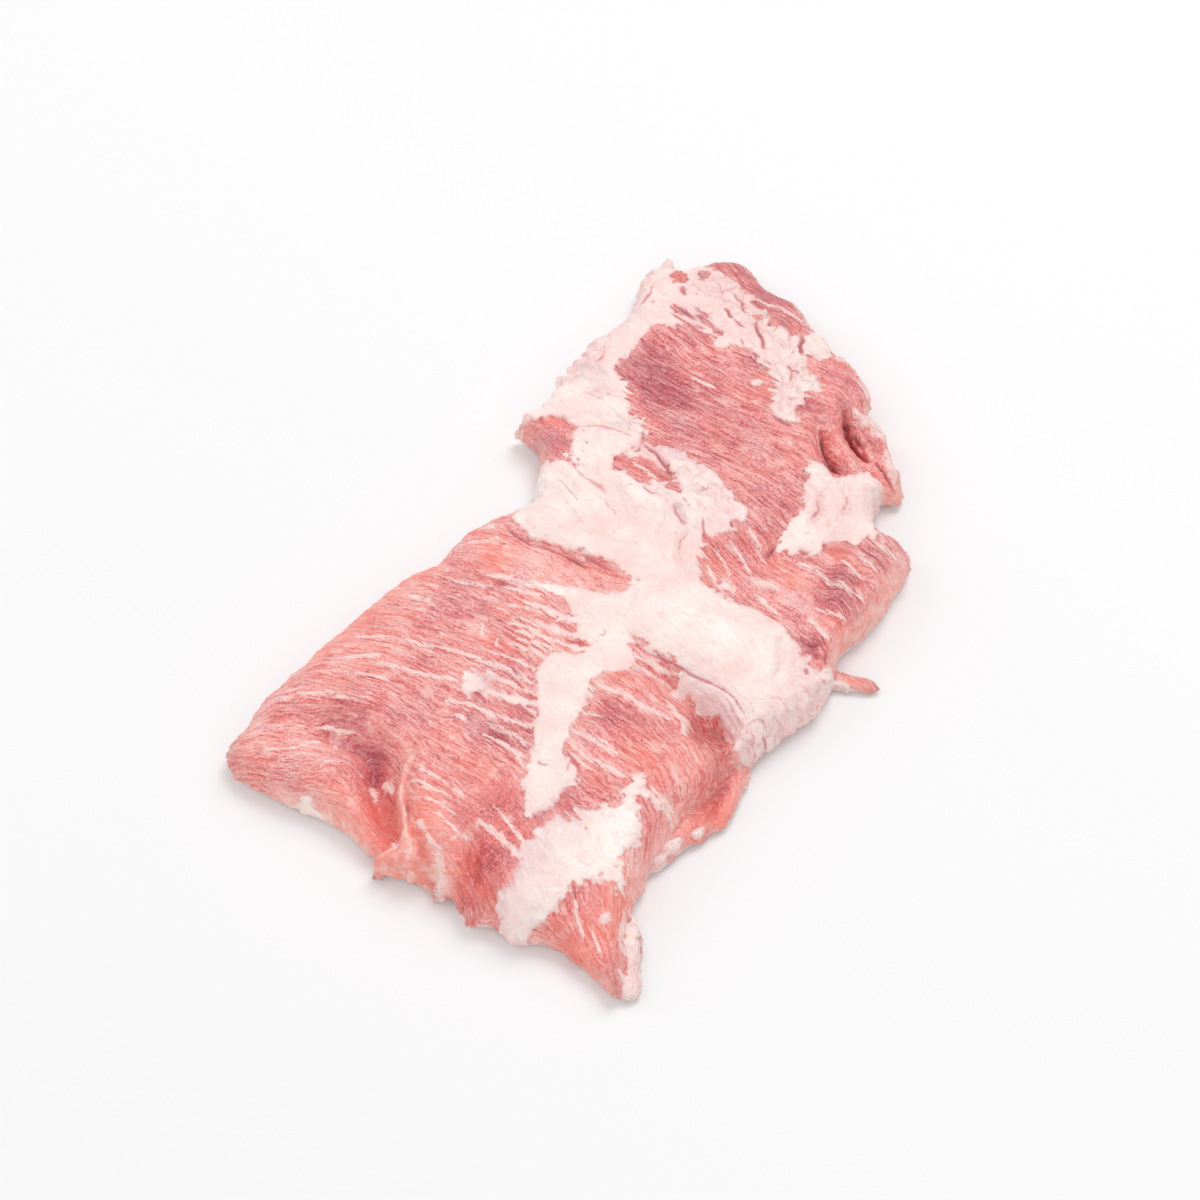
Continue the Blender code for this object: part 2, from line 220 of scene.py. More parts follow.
def grain_direction(x, y):
    """Unit vector along the fibres at each point of a grid."""
    pull_x, pull_y = np.zeros_like(x), np.zeros_like(x)
    for at_x, at_y, turn in GRAIN:
        weight = ((x - at_x) ** 2 + (y - at_y) ** 2 + GRAIN_REACH ** 2) ** -2
        pull_x += weight * cos(2 * radians(turn))
        pull_y += weight * sin(2 * radians(turn))
    angle = np.arctan2(pull_y, pull_x) / 2
    return np.cos(angle), np.sin(angle)


def height_map_with_slopes(slope_x, slope_y, cell):
    """The map whose slopes come closest to the given ones, solved by waves."""
    odd_x = np.block([[slope_x, -slope_x[:, ::-1]], [slope_x[::-1], -slope_x[::-1, ::-1]]])
    odd_y = np.block([[slope_y, slope_y[:, ::-1]], [-slope_y[::-1], -slope_y[::-1, ::-1]]])
    wave_x = 2 * np.pi * np.fft.fftfreq(odd_x.shape[1], cell)[None, :]
    wave_y = 2 * np.pi * np.fft.fftfreq(odd_x.shape[0], cell)[:, None]
    square = wave_x ** 2 + wave_y ** 2
    square[0, 0] = 1
    waves = -1j * (wave_x * np.fft.fft2(odd_x) + wave_y * np.fft.fft2(odd_y)) / square
    return np.fft.ifft2(waves).real[:slope_x.shape[0], :slope_x.shape[1]]


def read_map(grid, points):
    """Values of a map on the grain's cells at any points, blended between cells."""
    column = (points[:, 0] - GRAIN_AREA[0]) / GRAIN_CELL
    row = (points[:, 1] - GRAIN_AREA[2]) / GRAIN_CELL
    left, low = column.astype(int), row.astype(int)
    right_share, high_share = column - left, row - low
    lower = grid[low, left] * (1 - right_share) + grid[low, left + 1] * right_share
    higher = grid[low + 1, left] * (1 - right_share) + grid[low + 1, left + 1] * right_share
    return lower * (1 - high_share) + higher * high_share


cell_x, cell_y = np.meshgrid(np.arange(GRAIN_AREA[0], GRAIN_AREA[1], GRAIN_CELL),
                             np.arange(GRAIN_AREA[2], GRAIN_AREA[3], GRAIN_CELL))
along_x, along_y = grain_direction(cell_x.astype(float), cell_y.astype(float))
across = read_map(height_map_with_slopes(-along_y, along_x, GRAIN_CELL), unrolled)
along = read_map(height_map_with_slopes(along_x, along_y, GRAIN_CELL), unrolled)


# The fat cover
# Sheets of creamy fat lie on the lean, thin and flaky at their edges: one over the narrow end,
# a broad saddle across the middle with a tongue that runs down from it, one at the side and one
# at the front. Bare lean shows through in some places.

EDGE_REACH = 9.0            # mm round an edge within which it counts
TORN_REACH = 4              # mm from an edge over which it is torn,
COMBED_REACH = 6            # and over which it is drawn out into the fibres
BLUR = 0.15                 # mm that a streak or a crack is wider than it is drawn

FAT_SHEETS = {
    "narrow end": [
        (-54, 78), (-54, 100), (-48, 112), (-44, 124), (-44, 150), (-36, 162), (-28, 158),
        (-27, 152), (-25, 150.4), (-22.4, 151), (-19.5, 153), (-17, 151), (-13, 151),
        (-10, 149.5), (-7, 147.8), (-4, 145.2), (0, 142.8), (3, 141.2), (8, 140.6),
        (3.5, 139.8), (1.5, 138.5), (4, 135.9), (8, 135.6), (11.3, 134.4), (10.7, 131),
        (12.5, 128.6), (15, 128), (17.5, 126), (19.5, 124.4), (22, 125), (24, 127),
        (25.5, 131.5), (28, 132.5), (30.5, 129), (32, 125), (34, 120.5), (33.5, 117),
        (30.5, 115.6), (28.5, 116.5), (27.5, 113.5), (29, 111.5), (33, 109.8), (34.5, 106),
        (35, 102), (33.8, 98), (32.5, 94), (31.5, 91), (33.2, 89), (34, 86.5), (33, 84.6),
        (30.5, 85), (27, 86.4), (25.4, 87.2), (24.5, 90), (23.5, 93), (22.8, 97), (22.2, 100),
        (20.5, 103), (18, 105), (15, 106.3), (13.6, 107.2), (12.6, 109), (11.5, 111.5),
        (10, 113.5), (7, 113.3), (4.5, 113), (2.2, 112.3), (0.8, 110.8), (-0.8, 111),
        (-2.2, 112.8), (-2.5, 115.3), (-6, 117), (-10, 118), (-13, 118), (-16.5, 117),
        (-18.5, 115.3), (-20.5, 116), (-22.5, 115), (-23.8, 113), (-24.2, 110), (-25.5, 107),
        (-25.5, 103), (-27, 99), (-28, 95), (-28.3, 91), (-26, 88), (-24, 85.5), (-21.5, 83),
        (-20, 80)],
    "left fat": [
        (-54, 84), (-22, 86), (-20, 80), (-19.3, 77), (-17, 75.5), (-16, 72), (-12.5, 71),
        (-10, 68), (-8.5, 66.3), (-8.8, 60), (-10.5, 56.5), (-14.6, 53), (-13.7, 50),
        (-13.5, 47), (-10, 38), (-54, 38)],
    "saddle": [
        (-54, 50), (-13, 50), (-13.5, 47), (-10.5, 48.2), (-8, 46.5), (-4, 45.8), (-2.2, 45),
        (-0.6, 45.7), (0, 47.3), (2, 47.8), (4, 46.3), (6, 44.6), (8.8, 43.6), (14, 42),
        (20.5, 34), (21.5, 31), (23, 28), (23.5, 25), (25, 22), (25, 20), (26, 17), (27.5, 13),
        (29, 10.5), (32, 8.5), (35.5, 7), (39, 6.3), (43, 7), (47, 6.5), (50, 5.3), (52, 4.2),
        (55.5, 3.2), (58, 1.5), (60, -0.5), (62.5, -3), (65.5, -5), (68, -7), (70.5, -5.5),
        (72, -3), (76, -1), (82, -4), (82, -20), (68, -32), (62, -38), (58, -44), (55.5, -43),
        (53, -38.8), (50, -35.6), (46, -32.6), (42, -30.6), (38, -29), (34, -26.5), (32, -24.5),
        (33, -22.5), (27, -21), (22, -19.8), (17.5, -17.3), (16.5, -18.5), (17.5, -21),
        (19, -23.5), (19, -26.5), (21, -28.6), (18, -29.8), (16, -31.8), (13.2, -33.3),
        (12, -36), (-1, -36), (3, -32), (1, -31.2), (-6.5, -30), (-3, -29.8), (2.5, -30),
        (5, -28.2), (0, -27), (-8, -25.5), (3, -25.6), (5.5, -24.3), (0, -23), (-13, -21.5),
        (-9, -20.8), (-3, -21.3), (0.5, -20.3), (0.5, -17.8), (-5, -17), (-10, -16),
        (-17, -15.5), (-12, -14), (-7, -15.3), (-3, -14.8), (-4.5, -13), (-6.5, -10.5),
        (-7, -8.5), (-12, -7), (-19, -8), (-24, -6.5), (-19, -5.4), (-14, -4.6), (-10, -3.6),
        (-3, -4), (4, -4.5), (8, -3), (9.5, 0), (9, 3), (7, 5.5), (5, 7), (2, 8.5), (-2, 9),
        (-5, 10), (-8, 9.5), (-10, 11), (-14, 11), (-20, 11.8), (-27, 13), (-31, 14.5),
        (-34.5, 17), (-35, 20), (-36, 25), (-38, 30), (-54, 40)],
    "tongue": [
        (-4, -30), (-5.2, -36), (-5, -41), (-3, -45), (-2.3, -48), (-1.3, -50.5), (0.2, -53),
        (1.5, -56), (2, -60), (2.6, -64), (4, -68), (5, -72), (5.8, -76), (6.6, -79.5),
        (8, -83.5), (9.2, -87), (10.6, -89.4), (12.6, -88.5), (15, -86), (16.6, -84.3),
        (17.3, -82), (17.6, -79), (18.6, -76), (19.6, -73.3), (20, -70.3), (18.4, -68.9),
        (16.5, -69.2), (15, -68), (13.8, -65.6), (12.1, -64.3), (12, -60), (12.4, -55),
        (12.4, -50), (12.7, -45), (12.6, -40), (12.2, -36), (13, -30)],
    "middle flake": [
        (12, 40), (21, 30), (23, 30.5), (25, 32), (28, 32.5), (30.5, 34), (31, 36), (28.6, 37.3),
        (29.3, 39), (30.2, 40.4), (31.8, 40.2), (32.3, 42), (31.7, 44.3), (29.6, 46), (28, 47.6),
        (25.5, 49.6), (23.5, 50.5), (21.5, 52.6), (20, 54), (18, 55.6), (16, 57), (13, 57.6),
        (11.5, 58.8), (10.3, 58.2), (8.5, 60), (5, 61.7), (2, 62.4), (-1.5, 63), (-4, 63.3),
        (-3.5, 60), (2.3, 54.5), (5.3, 50.8), (6, 48.5), (8.3, 46.6), (9.8, 45.2)],
    "side fat": [
        (41.5, 72.6), (44, 73), (47, 72.3), (51, 70.6), (54, 71.3), (57, 71.8), (61.5, 74.5),
        (65.5, 72.5), (68.5, 68), (67.5, 60), (69, 55), (71, 49), (72, 45), (69, 42.5), (66, 40.5),
        (62, 40.6), (58.5, 40), (57, 38), (57.2, 35), (55, 33.8), (52, 32.6), (49, 31.6),
        (45.5, 30), (44, 31.5), (44, 36), (45.5, 42), (46, 46), (46.5, 50), (45.5, 54),
        (45.8, 58), (44.8, 62), (43, 65.5), (42.8, 69)],
    "front fat": [
        (33.3, -65.5), (35.8, -64.4), (37.6, -66), (37.8, -68.6), (42, -71), (45, -71.2),
        (46, -72.6), (42, -72.8), (38.6, -71.6), (37.6, -73), (39.6, -77), (41, -81.5),
        (42.2, -85.5), (41, -88.4), (40, -92), (40.8, -96), (43.8, -99), (45.3, -101.5),
        (43, -103), (40, -101.6), (38, -102.4), (35, -103.6), (32, -105), (30, -107.4),
        (29.4, -110.6), (29.4, -115), (28, -117), (25.6, -118), (24, -121), (22, -126),
        (18, -126), (15, -121), (12.6, -118.4), (13.4, -114.6), (15, -112), (15.2, -107),
        (14.6, -104.2), (12, -102.6), (11, -100.6), (14, -98.6), (15.2, -95), (14, -91.7),
        (16.6, -91), (17.2, -88), (17.8, -84.6), (20, -85.8), (22, -86), (23.6, -84.3),
        (22.6, -82), (25, -80.6), (29.5, -80), (30, -78.3), (33.2, -78), (33, -75.5),
        (31.6, -71.8), (33, -70.5), (34, -68.5)],
    "strip beside the tip": [
        (46, -102), (49, -103.5), (51.5, -107), (53.5, -113), (55.5, -119), (59, -124),
        (60, -130), (54, -130), (51.5, -124), (49, -115), (47, -108.5)],
    "slip above the island": [
        (-11, 56.5), (-9.3, 60), (-8.6, 63), (-6.4, 62.4), (-3.6, 60.4), (-1, 57.8),
        (2.5, 54.2), (5, 51.2), (2, 52.6), (-1, 54.4), (-4, 55.8), (-8, 55.2), (-10.8, 54.6)],
    "patch beside the tongue": [
        (-25, -45), (-22, -43.6), (-18, -44.2), (-15, -46), (-17.5, -47.2), (-14, -49),
        (-8, -49.5), (-2.5, -49.5), (-1, -51.5), (-4, -52.6), (-9, -51.6), (-14, -51.4),
        (-19, -51.8), (-19.5, -54), (-23, -53), (-24.5, -50)],
}

BARE_PLACES = {
    "lean tab at the waist": [
        (-50, 59), (-46, 60.5), (-42.3, 61.2), (-40.6, 63.6), (-39, 64.6), (-36, 63.8),
        (-32, 62.3), (-29.8, 61.4), (-30.4, 58), (-29.9, 54), (-28.8, 50.3), (-27.3, 48.6),
        (-25.6, 47), (-29, 46.4), (-34, 46.6), (-40, 46), (-50, 54)],
    "rim above the tab": [
        (-54, 62), (-46.5, 62.5), (-46, 66), (-45.2, 70), (-45, 74), (-45.4, 78.5), (-47, 79),
        (-54, 76)],
    "island": [
        (-14.5, 53), (-12.5, 54.5), (-10.5, 54), (-8, 54.8), (-5, 55), (-2, 54), (1, 52.5),
        (4, 50.8), (5.5, 50.5), (6, 48), (8, 46.5), (9.5, 45), (8.5, 43.8), (6, 44.8),
        (4, 46.5), (2, 48), (0, 47.5), (-0.5, 45.8), (-2, 45.2), (-4, 46), (-8, 46.7),
        (-10, 48), (-11, 49), (-13.5, 47.5), (-13.5, 50)],
    "streaky strip of the narrow end": [
        (-21, 125.8), (-19.3, 126.2), (-14.5, 124.9), (-9.5, 124), (-7, 122.4), (-4.4, 120),
        (-1.8, 118), (-1.5, 116.2), (-4, 116.6), (-7, 118.3), (-11, 119.7), (-14, 120.6),
        (-18.3, 121), (-19.7, 122.5)],
    "notch of the narrow end": [
        (-26.3, 144.5), (-22.5, 144.9), (-21.3, 142), (-20, 139.5), (-20.5, 137.5),
        (-24, 138), (-26.2, 140.5)],
    "spot of the narrow end": [(-20.5, 147.5), (-17, 148.3), (-15.3, 144.5), (-16, 142.4),
                               (-18.3, 143.8)],
    "blot of the narrow end": [(5.2, 131), (6.5, 132.4), (8.6, 131.6), (8.3, 129), (6.8, 128.7)],
    "stripe by the patch": [
        (-17.5, -47.2), (-13, -46.6), (-8, -47), (-4, -48), (-1.6, -49.6), (-6, -49.3),
        (-11, -49), (-15, -48.8)],
}

# Pale streaks in the lean, and painted sheen along the rims and on the front flap: half the width,
# then the path
PALE_STREAKS_AND_SHEEN = [
    # broad end, left
    (0.9, [(-66, -54), (-60, -52.6), (-55, -50), (-50, -48.6)]),
    (0.5, [(-62, -43.5), (-55, -42.5), (-50, -41.5)]),
    (0.6, [(-48, -40.8), (-40, -40.2), (-34, -39.3), (-28, -39.5), (-22, -39)]),
    (0.8, [(-50, -51.4), (-44, -51), (-36, -50.6), (-30, -49.6), (-25.5, -49)]),
    (0.5, [(-60, -58.5), (-52, -56.6), (-44, -56)]),
    (0.5, [(-44, -13.8), (-36, -12.4), (-30, -11.6)]),
    (0.5, [(-48, 2), (-42, 5.5), (-36, 9)]),
    (0.8, [(-26, -57.5), (-20, -56.5), (-14, -57.8), (-8, -58.6), (-2, -59.5), (2, -60)]),
    (1.0, [(-24, -40.5), (-20, -39.5), (-14, -40.8), (-9, -42.6), (-5, -44)]),
    (0.6, [(-67, -68.5), (-62, -67.5), (-58, -65.5), (-50, -65)]),
    (0.6, [(-16, -45.2), (-10, -45.6), (-5, -47.2), (-2, -48.8)]),
    (0.6, [(-4, -52.6), (0, -54.5), (1, -57)]),
    (0.5, [(-22, -62.8), (-20.5, -61.6), (-18.5, -62), (-16.5, -63.4)]),
    (0.6, [(-14, -65.5), (-8, -66.5), (-3, -67.6), (1, -70.2), (4.5, -74)]),
    (0.5, [(-12, -62), (-6, -62.3), (0, -64.5), (2.5, -67)]),
    (0.5, [(-50.5, -91.5), (-48, -88), (-44, -86.2), (-40, -86.5)]),
    (0.5, [(-67, -89.5), (-62, -88), (-58, -84), (-55, -80.5)]),
    (0.4, [(-63, -92), (-57, -88.5), (-52, -87)]),
    (0.5, [(-58, -76), (-54, -73.6), (-48, -72.6)]),
    (1.0, [(-36.4, -87.8), (-35, -90), (-33.2, -92)]),
    (1.0, [(-33.5, -85.8), (-29.2, -89)]),
    (1.2, [(-22.6, -105.4), (-20, -107.6)]),
    (0.6, [(-22, -86), (-14, -88), (-8, -89.6)]),
    (0.6, [(-23, -89.6), (-16, -91.4), (-10, -92)]),
    (0.4, [(-20, -95), (-13, -95.6), (-7, -97)]),
    (0.4, [(-12, -99), (-6, -101), (-3, -103)]),
    (0.6, [(-16.6, -101), (-13.4, -104), (-9.6, -106.6), (-5.4, -109.2)]),
    # painted light on the flap at the front rim
    (1.9, [(-8, -107.6), (-5.6, -110.6), (-3.6, -114)]),
    # beside the saddle
    (1.3, [(-33, -6.6), (-26, -6.2), (-20, -6.6), (-14, -6.2), (-6, -6)]),
    (0.6, [(-27, -10.5), (-19, -9.6), (-14, -9)]),
    (1.0, [(-19, -13.6), (-12, -14.3), (-6, -15.6), (0, -16.3)]),
    (0.5, [(-24, -16.5), (-17, -16), (-11, -16.6)]),
    (0.9, [(-20, -20.6), (-12, -21), (-4, -21.7), (2, -22.6)]),
    (0.5, [(-22, -23.4), (-15, -23.2), (-9, -23.9)]),
    (1.0, [(-17, -25.8), (-9, -25.6), (-2, -26), (4, -26.8)]),
    (0.7, [(-15, -28.3), (-8, -28.6), (-2, -29.4), (3, -29.9)]),
    (0.8, [(-17, -30.8), (-10, -31.4), (-4, -33.2), (0, -34)]),
    (0.55, [(-27, -25.6), (-26.2, -28.5), (-25, -31.4)]),
    (0.4, [(-20.6, -30), (-20, -33.5)]),
    (0.7, [(-21, -35.4), (-13, -36.4), (-6, -38.8)]),
    # front
    (1.3, [(-1, -95), (6, -97.5), (11, -100.5), (15, -100.5)]),
    (0.7, [(1, -89), (6, -91.5), (11, -96), (14.5, -98)]),
    (0.5, [(33, -110), (35, -114), (38.5, -119)]),
    (0.5, [(45.5, -106), (47.3, -112)]),
    (0.4, [(40, -116), (45, -122)]),
    # broad end, right
    (1.1, [(12, -38.3), (20, -38.8), (28, -40.8), (36, -41.8)]),
    (1.3, [(24.5, -40), (28, -41), (32, -41)]),
    (1.2, [(33, -35), (37, -38.5), (40.5, -40.5), (41.5, -45)]),
    (0.5, [(12.3, -49.6), (20, -49.2)]),
    (1.4, [(13, -57.2), (20, -57.8), (27, -59.8)]),
    (0.8, [(13, -62.5), (20, -64.5), (28, -66), (33, -67)]),
    (1.0, [(15, -66), (22, -68)]),
    (0.8, [(38, -69.6), (44, -71), (48, -73)]),
    (0.6, [(38, -67.5), (44, -69.5), (48, -70.5)]),
    (0.8, [(19, -23.4), (26, -23.6), (33, -24)]),
    (0.6, [(20, -27), (27, -27.2), (33, -27)]),
    # narrow end
    (0.5, [(2, 140.6), (12, 140), (17, 136.6), (20, 134.6)]),
    (1.5, [(13, 147), (18, 143), (21, 139), (24, 134)]),
    (0.5, [(-18, 122.4), (-12, 120.4), (-7, 119)]),
    (0.5, [(-8.5, 52.6), (-3, 50.6), (1, 48.6)]),
    (0.5, [(-4, 95), (5, 92.4)]),
    (1.2, [(33, 15.6), (34.5, 13.6), (37, 11.6), (38.2, 10)]),
    (0.5, [(26.5, 27), (31, 22), (35, 17)]),
    (0.6, [(30, 31), (35, 26), (40, 20.5)]),
    (0.5, [(34, 38), (38, 33), (43, 26)]),
    (0.5, [(27, 19), (30, 15), (34, 10)]),
    (0.9, [(40, 19), (45, 17.4), (50, 17)]),
    (0.8, [(44, 12.6), (49, 9.5), (54, 6.6)]),
    (0.8, [(52, 29.4), (57, 28.8), (61, 27)]),
    (0.7, [(61, 27), (63.5, 24.6), (69, 22.8), (75, 21.6)]),
    (0.5, [(64, 33), (68, 30), (73, 28)]),
    (0.5, [(66, 38), (71, 36), (75, 33)]),
    (0.6, [(62, 14.4), (67, 13), (72, 12.4)]),
    (0.6, [(70, 44), (75, 43), (79, 42.4)]),
    (1.2, [(62, 9), (66, 6), (69, 4)]),
    # along the rims: pale skin, and painted highlights where the glancing sheen falls on them
    (2.2, [(35.5, 123), (39.5, 119.6)]),
    (2.0, [(44.5, 117.2), (48, 113.6), (49.6, 110)]),
    (2.4, [(48, 102.4), (52, 99.4), (57, 94.6), (60.4, 90.4)]),
    (1.4, [(62.4, 87), (65.4, 82.4), (68, 78.4)]),
    (0.5, [(39.6, 90), (40.5, 87), (41.7, 84), (43.1, 80.8), (45.4, 77.6)]),
    (0.5, [(50.4, 94.6), (53, 91), (56, 87.6), (59.6, 84.6)]),
]

# Small knobs of fat: x, y, half length, half width and turn
KNOBS = [
    (16.5, 99.5, 1.9, 1.5, 20), (-50, -23, 2.5, 1.0, 0), (-45.6, -23, 1.0, 0.8, 0),
    (-45, -9, 1.0, 0.7, 0), (33.5, -28.2, 2.2, 1.3, 80), (-2, -101, 1.3, 0.9, 60),
    (42, -111.5, 1.9, 1.5, 70), (-40, 13, 1.8, 1.4, 0), (54.5, -70, 2.6, 1.4, 60),
    (49.6, -77.5, 4.0, 1.9, 65), (47.8, -83, 2.6, 1.4, 60), (-50.5, -80, 1.8, 0.7, -60),
    (28, 105.5, 2.4, 1.8, 70), (-11, -94.7, 1.0, 0.4, 80), (-4.8, -104, 1.1, 0.4, 70),
    (35, 12, 2.0, 1.8, 0),
]

# Where the fat's edge is drawn out into the fibres: x, y, radius
FRINGED_EDGES = [
    (-22, -8, 7), (-15, -46, 9), (24, -25, 5), (-14, 122, 7), (24, 98, 5), (16, 107, 5),
    (26, 20, 5), (36, 100, 5), (22, -84, 5), (52, 12, 9), (-20, 80, 4), (0, -92, 6), (14, -40, 3),
    (13, -58, 3),
]


def inside(points, outline):
    """Distance of each point inside an outline, negative outside it, within EDGE_REACH."""
    start = np.array(outline, float)
    low, high = start.min(0) - EDGE_REACH, start.max(0) + EDGE_REACH
    near = np.flatnonzero(((points > low) & (points < high)).all(1))
    depth = np.full(len(points), -EDGE_REACH)
    end = np.roll(start, -1, axis=0)
    x, y = points[near, :1], points[near, 1:]
    spans = (start[:, 1] > y) != (end[:, 1] > y)
    rise = np.where(start[:, 1] == end[:, 1], 1, end[:, 1] - start[:, 1])
    crossing = start[:, 0] + (y - start[:, 1]) / rise * (end[:, 0] - start[:, 0])
    within = (spans & (x < crossing)).sum(1) % 2 == 1
    distance, _ = from_path(points[near], np.vstack([start, start[:1]]))
    depth[near] = np.where(within, np.abs(distance), -np.abs(distance))
    return depth.clip(-EDGE_REACH, EDGE_REACH)


def from_path(points, path):
    """Distance of each point from a path, and the share of the path at which it is nearest.

    The distance is negative on the path's left-hand side.
    """
    start, step = path[:-1], np.diff(path, axis=0)
    offset = points[:, None, :] - start[None]
    share = np.clip((offset * step).sum(2) / (step ** 2).sum(1), 0, 1)
    gap = offset - share[..., None] * step
    distance = np.hypot(gap[..., 0], gap[..., 1])
    nearest = distance.argmin(1)
    rows = np.arange(len(points))
    turn = step[nearest, 0] * gap[rows, nearest, 1] - step[nearest, 1] * gap[rows, nearest, 0]
    side = np.where(turn > 0, -1, 1)
    return side * distance[rows, nearest], (nearest + share[rows, nearest]) / len(step)


def bell(distance, width):
    """1 at a place, falling softly to nothing beyond its width."""
    return np.exp(-(distance / width) ** 2)


def rising(distance, width):
    """0 on one side of a place and 1 on the other, changing over a width."""
    return 1 / (1 + np.exp(-distance / width))


def tapered(place, power, share):
    """1 along most of a path and less by that share at its two ends."""
    return 1 - share * np.abs(2 * place - 1) ** power


def in_oval(x, y, long, wide, turn):
    """The vertices' places along and across an oval, in its own half length and width."""
    dx, dy = (plan - (x, y)).T
    return ((dx * cos(radians(turn)) + dy * sin(radians(turn))) / long,
            (dy * cos(radians(turn)) - dx * sin(radians(turn))) / wide)


def near_path(points, path, reach):
    """The points within reach of a path, how far from it they are and where along it."""
    path = np.array(path, float)
    low, high = path.min(0) - reach, path.max(0) + reach
    near = np.flatnonzero(((points > low) & (points < high)).all(1))
    distance, place = from_path(points[near], path)
    close = np.abs(distance) < reach
    return near[close], distance[close], place[close]


def lumps(size, seed, where=None):
    """Uneven values from about -1 to 1, with lumps of that size in millimetres."""
    where = plan if where is None else where
    places = np.column_stack([where / size, np.full(len(where), float(seed))])
    return np.array([noise.noise(place) for place in places.tolist()])


def strands(width, length, seed):
    """Uneven values from about -1 to 1, drawn out along the fibres."""
    return lumps(1, seed, np.column_stack([across / width, along / length]))


fringe = np.zeros(len(plan))
for x, y, radius in FRINGED_EDGES:
    fringe += bell(np.hypot(*(plan - (x, y)).T), radius)
fringe = fringe.clip(0, 1)
torn_off = 0.35 + 1.6 * (lumps(13, 19) + 0.35).clip(0, 1)
torn = 1.7 * lumps(4.5, 1) + 1.9 * lumps(2.1, 2) + 1.3 * lumps(1.0, 15)
combed = 7.0 * strands(1.2, 18, 3) + 3.0 * strands(0.8, 9, 4)

sheet_depth = np.full(len(plan), -EDGE_REACH)
for outline in FAT_SHEETS.values():
    sheet_depth = np.maximum(sheet_depth, inside(plan, outline))
for outline in BARE_PLACES.values():
    sheet_depth = np.minimum(sheet_depth, -inside(plan, outline))
sheet_depth += torn * torn_off * (1 - 0.5 * fringe) * bell(sheet_depth, TORN_REACH)
sheet_depth += combed * fringe * bell(sheet_depth, COMBED_REACH)

knob = np.full(len(plan), -EDGE_REACH)
for x, y, long, wide, turn in KNOBS:
    from_middle = np.hypot(*in_oval(x, y, long, wide, turn))
    knob = np.maximum(knob, wide * (1 - from_middle) + 0.1 * torn)

streak_and_sheen = np.zeros(len(plan))
for half_width, path in PALE_STREAKS_AND_SHEEN:
    near, distance, place = near_path(plan, path, 3 * half_width + 1.5)
    width = half_width * tapered(place, 3, 0.6) * (1.1 + 0.3 * torn[near]).clip(0.3, None)
    streak_and_sheen[near] = np.maximum(streak_and_sheen[near], bell(distance, width + BLUR))


# The underside
# The cut was pulled off with patches of fat and silvery skin on its lower face. They reach up
# its edge in places as a pale rim.

RIM_FAT = 2.5               # mm of depth at which a pale rim is fat all over

PALE_RIMS = [               # x, y, two radii, turn and how high the pale rim reaches, in mm
    (-50, -99, 9, 6, -8, 6.0), (-28, -106, 10, 5, -30, 2.5), (6, -119, 9, 5, -20, 5.0),
    (-66, -95, 8, 5, -8, 2.0), (30, -121, 10, 4, 0, 3.0), (61, -50, 4, 18, -10, 2.0),
    (48, -82, 6, 12, -30, 3.0), (68, -28, 8, 10, 0, 3.0), (-46, 84, 5, 9, 0, 2.5),
    (-42, 110, 8, 34, 15, 5.0), (-46, 40, 8, 14, 0, 4.0), (30, 135, 12, 8, -50, 1.5),
    (66, 75, 8, 8, -45, 1.5), (72, 12, 8, 14, 0, 1.0),
]


def patches(ovals):
    """Sum of soft oval patches at the vertices, one row for each value that an oval gives."""
    total = 0
    for x, y, long, wide, turn, *values in ovals:
        total += np.outer(values, bell(np.hypot(*in_oval(x, y, long, wide, turn)), 1))
    return total


rim_height, = patches(PALE_RIMS)
rim_depth = rim_height * (1 + 0.8 * lumps(7, 21, unrolled)) + 0.6 * lumps(3, 22, unrolled)
rim_depth = np.minimum(rim_depth - smooth_shape[:, 2], RIM_FAT)
skin_depth = 1.5 + 7 * lumps(30, 23) + 3 * lumps(9, 24) + 0.8 * torn
skin_depth = skin_depth.clip(-EDGE_REACH, EDGE_REACH)
fat_depth = np.maximum(np.maximum(sheet_depth, knob), rim_depth)
fat_depth = fat_depth * upper + skin_depth * (1 - upper)


# Cracks, slits and folds
# The fat cover is torn and cracked, and the lean splits between its fibres. Two deep slits at the
# side open into a pocket, and the whole cut is folded where it was laid down loosely. The dark
# lines are painted darker the deeper they go: partly the red of the lean that shows in them, and
# partly painted shade in the cracks, slits and creases.

THINNEST_CRACK = 0.25       # mm
# A crack's darkness is partly painted shade, which deepens with its depth
DARKEST_FROM = 1.2          # mm of depth from which a crack is as dark as can be

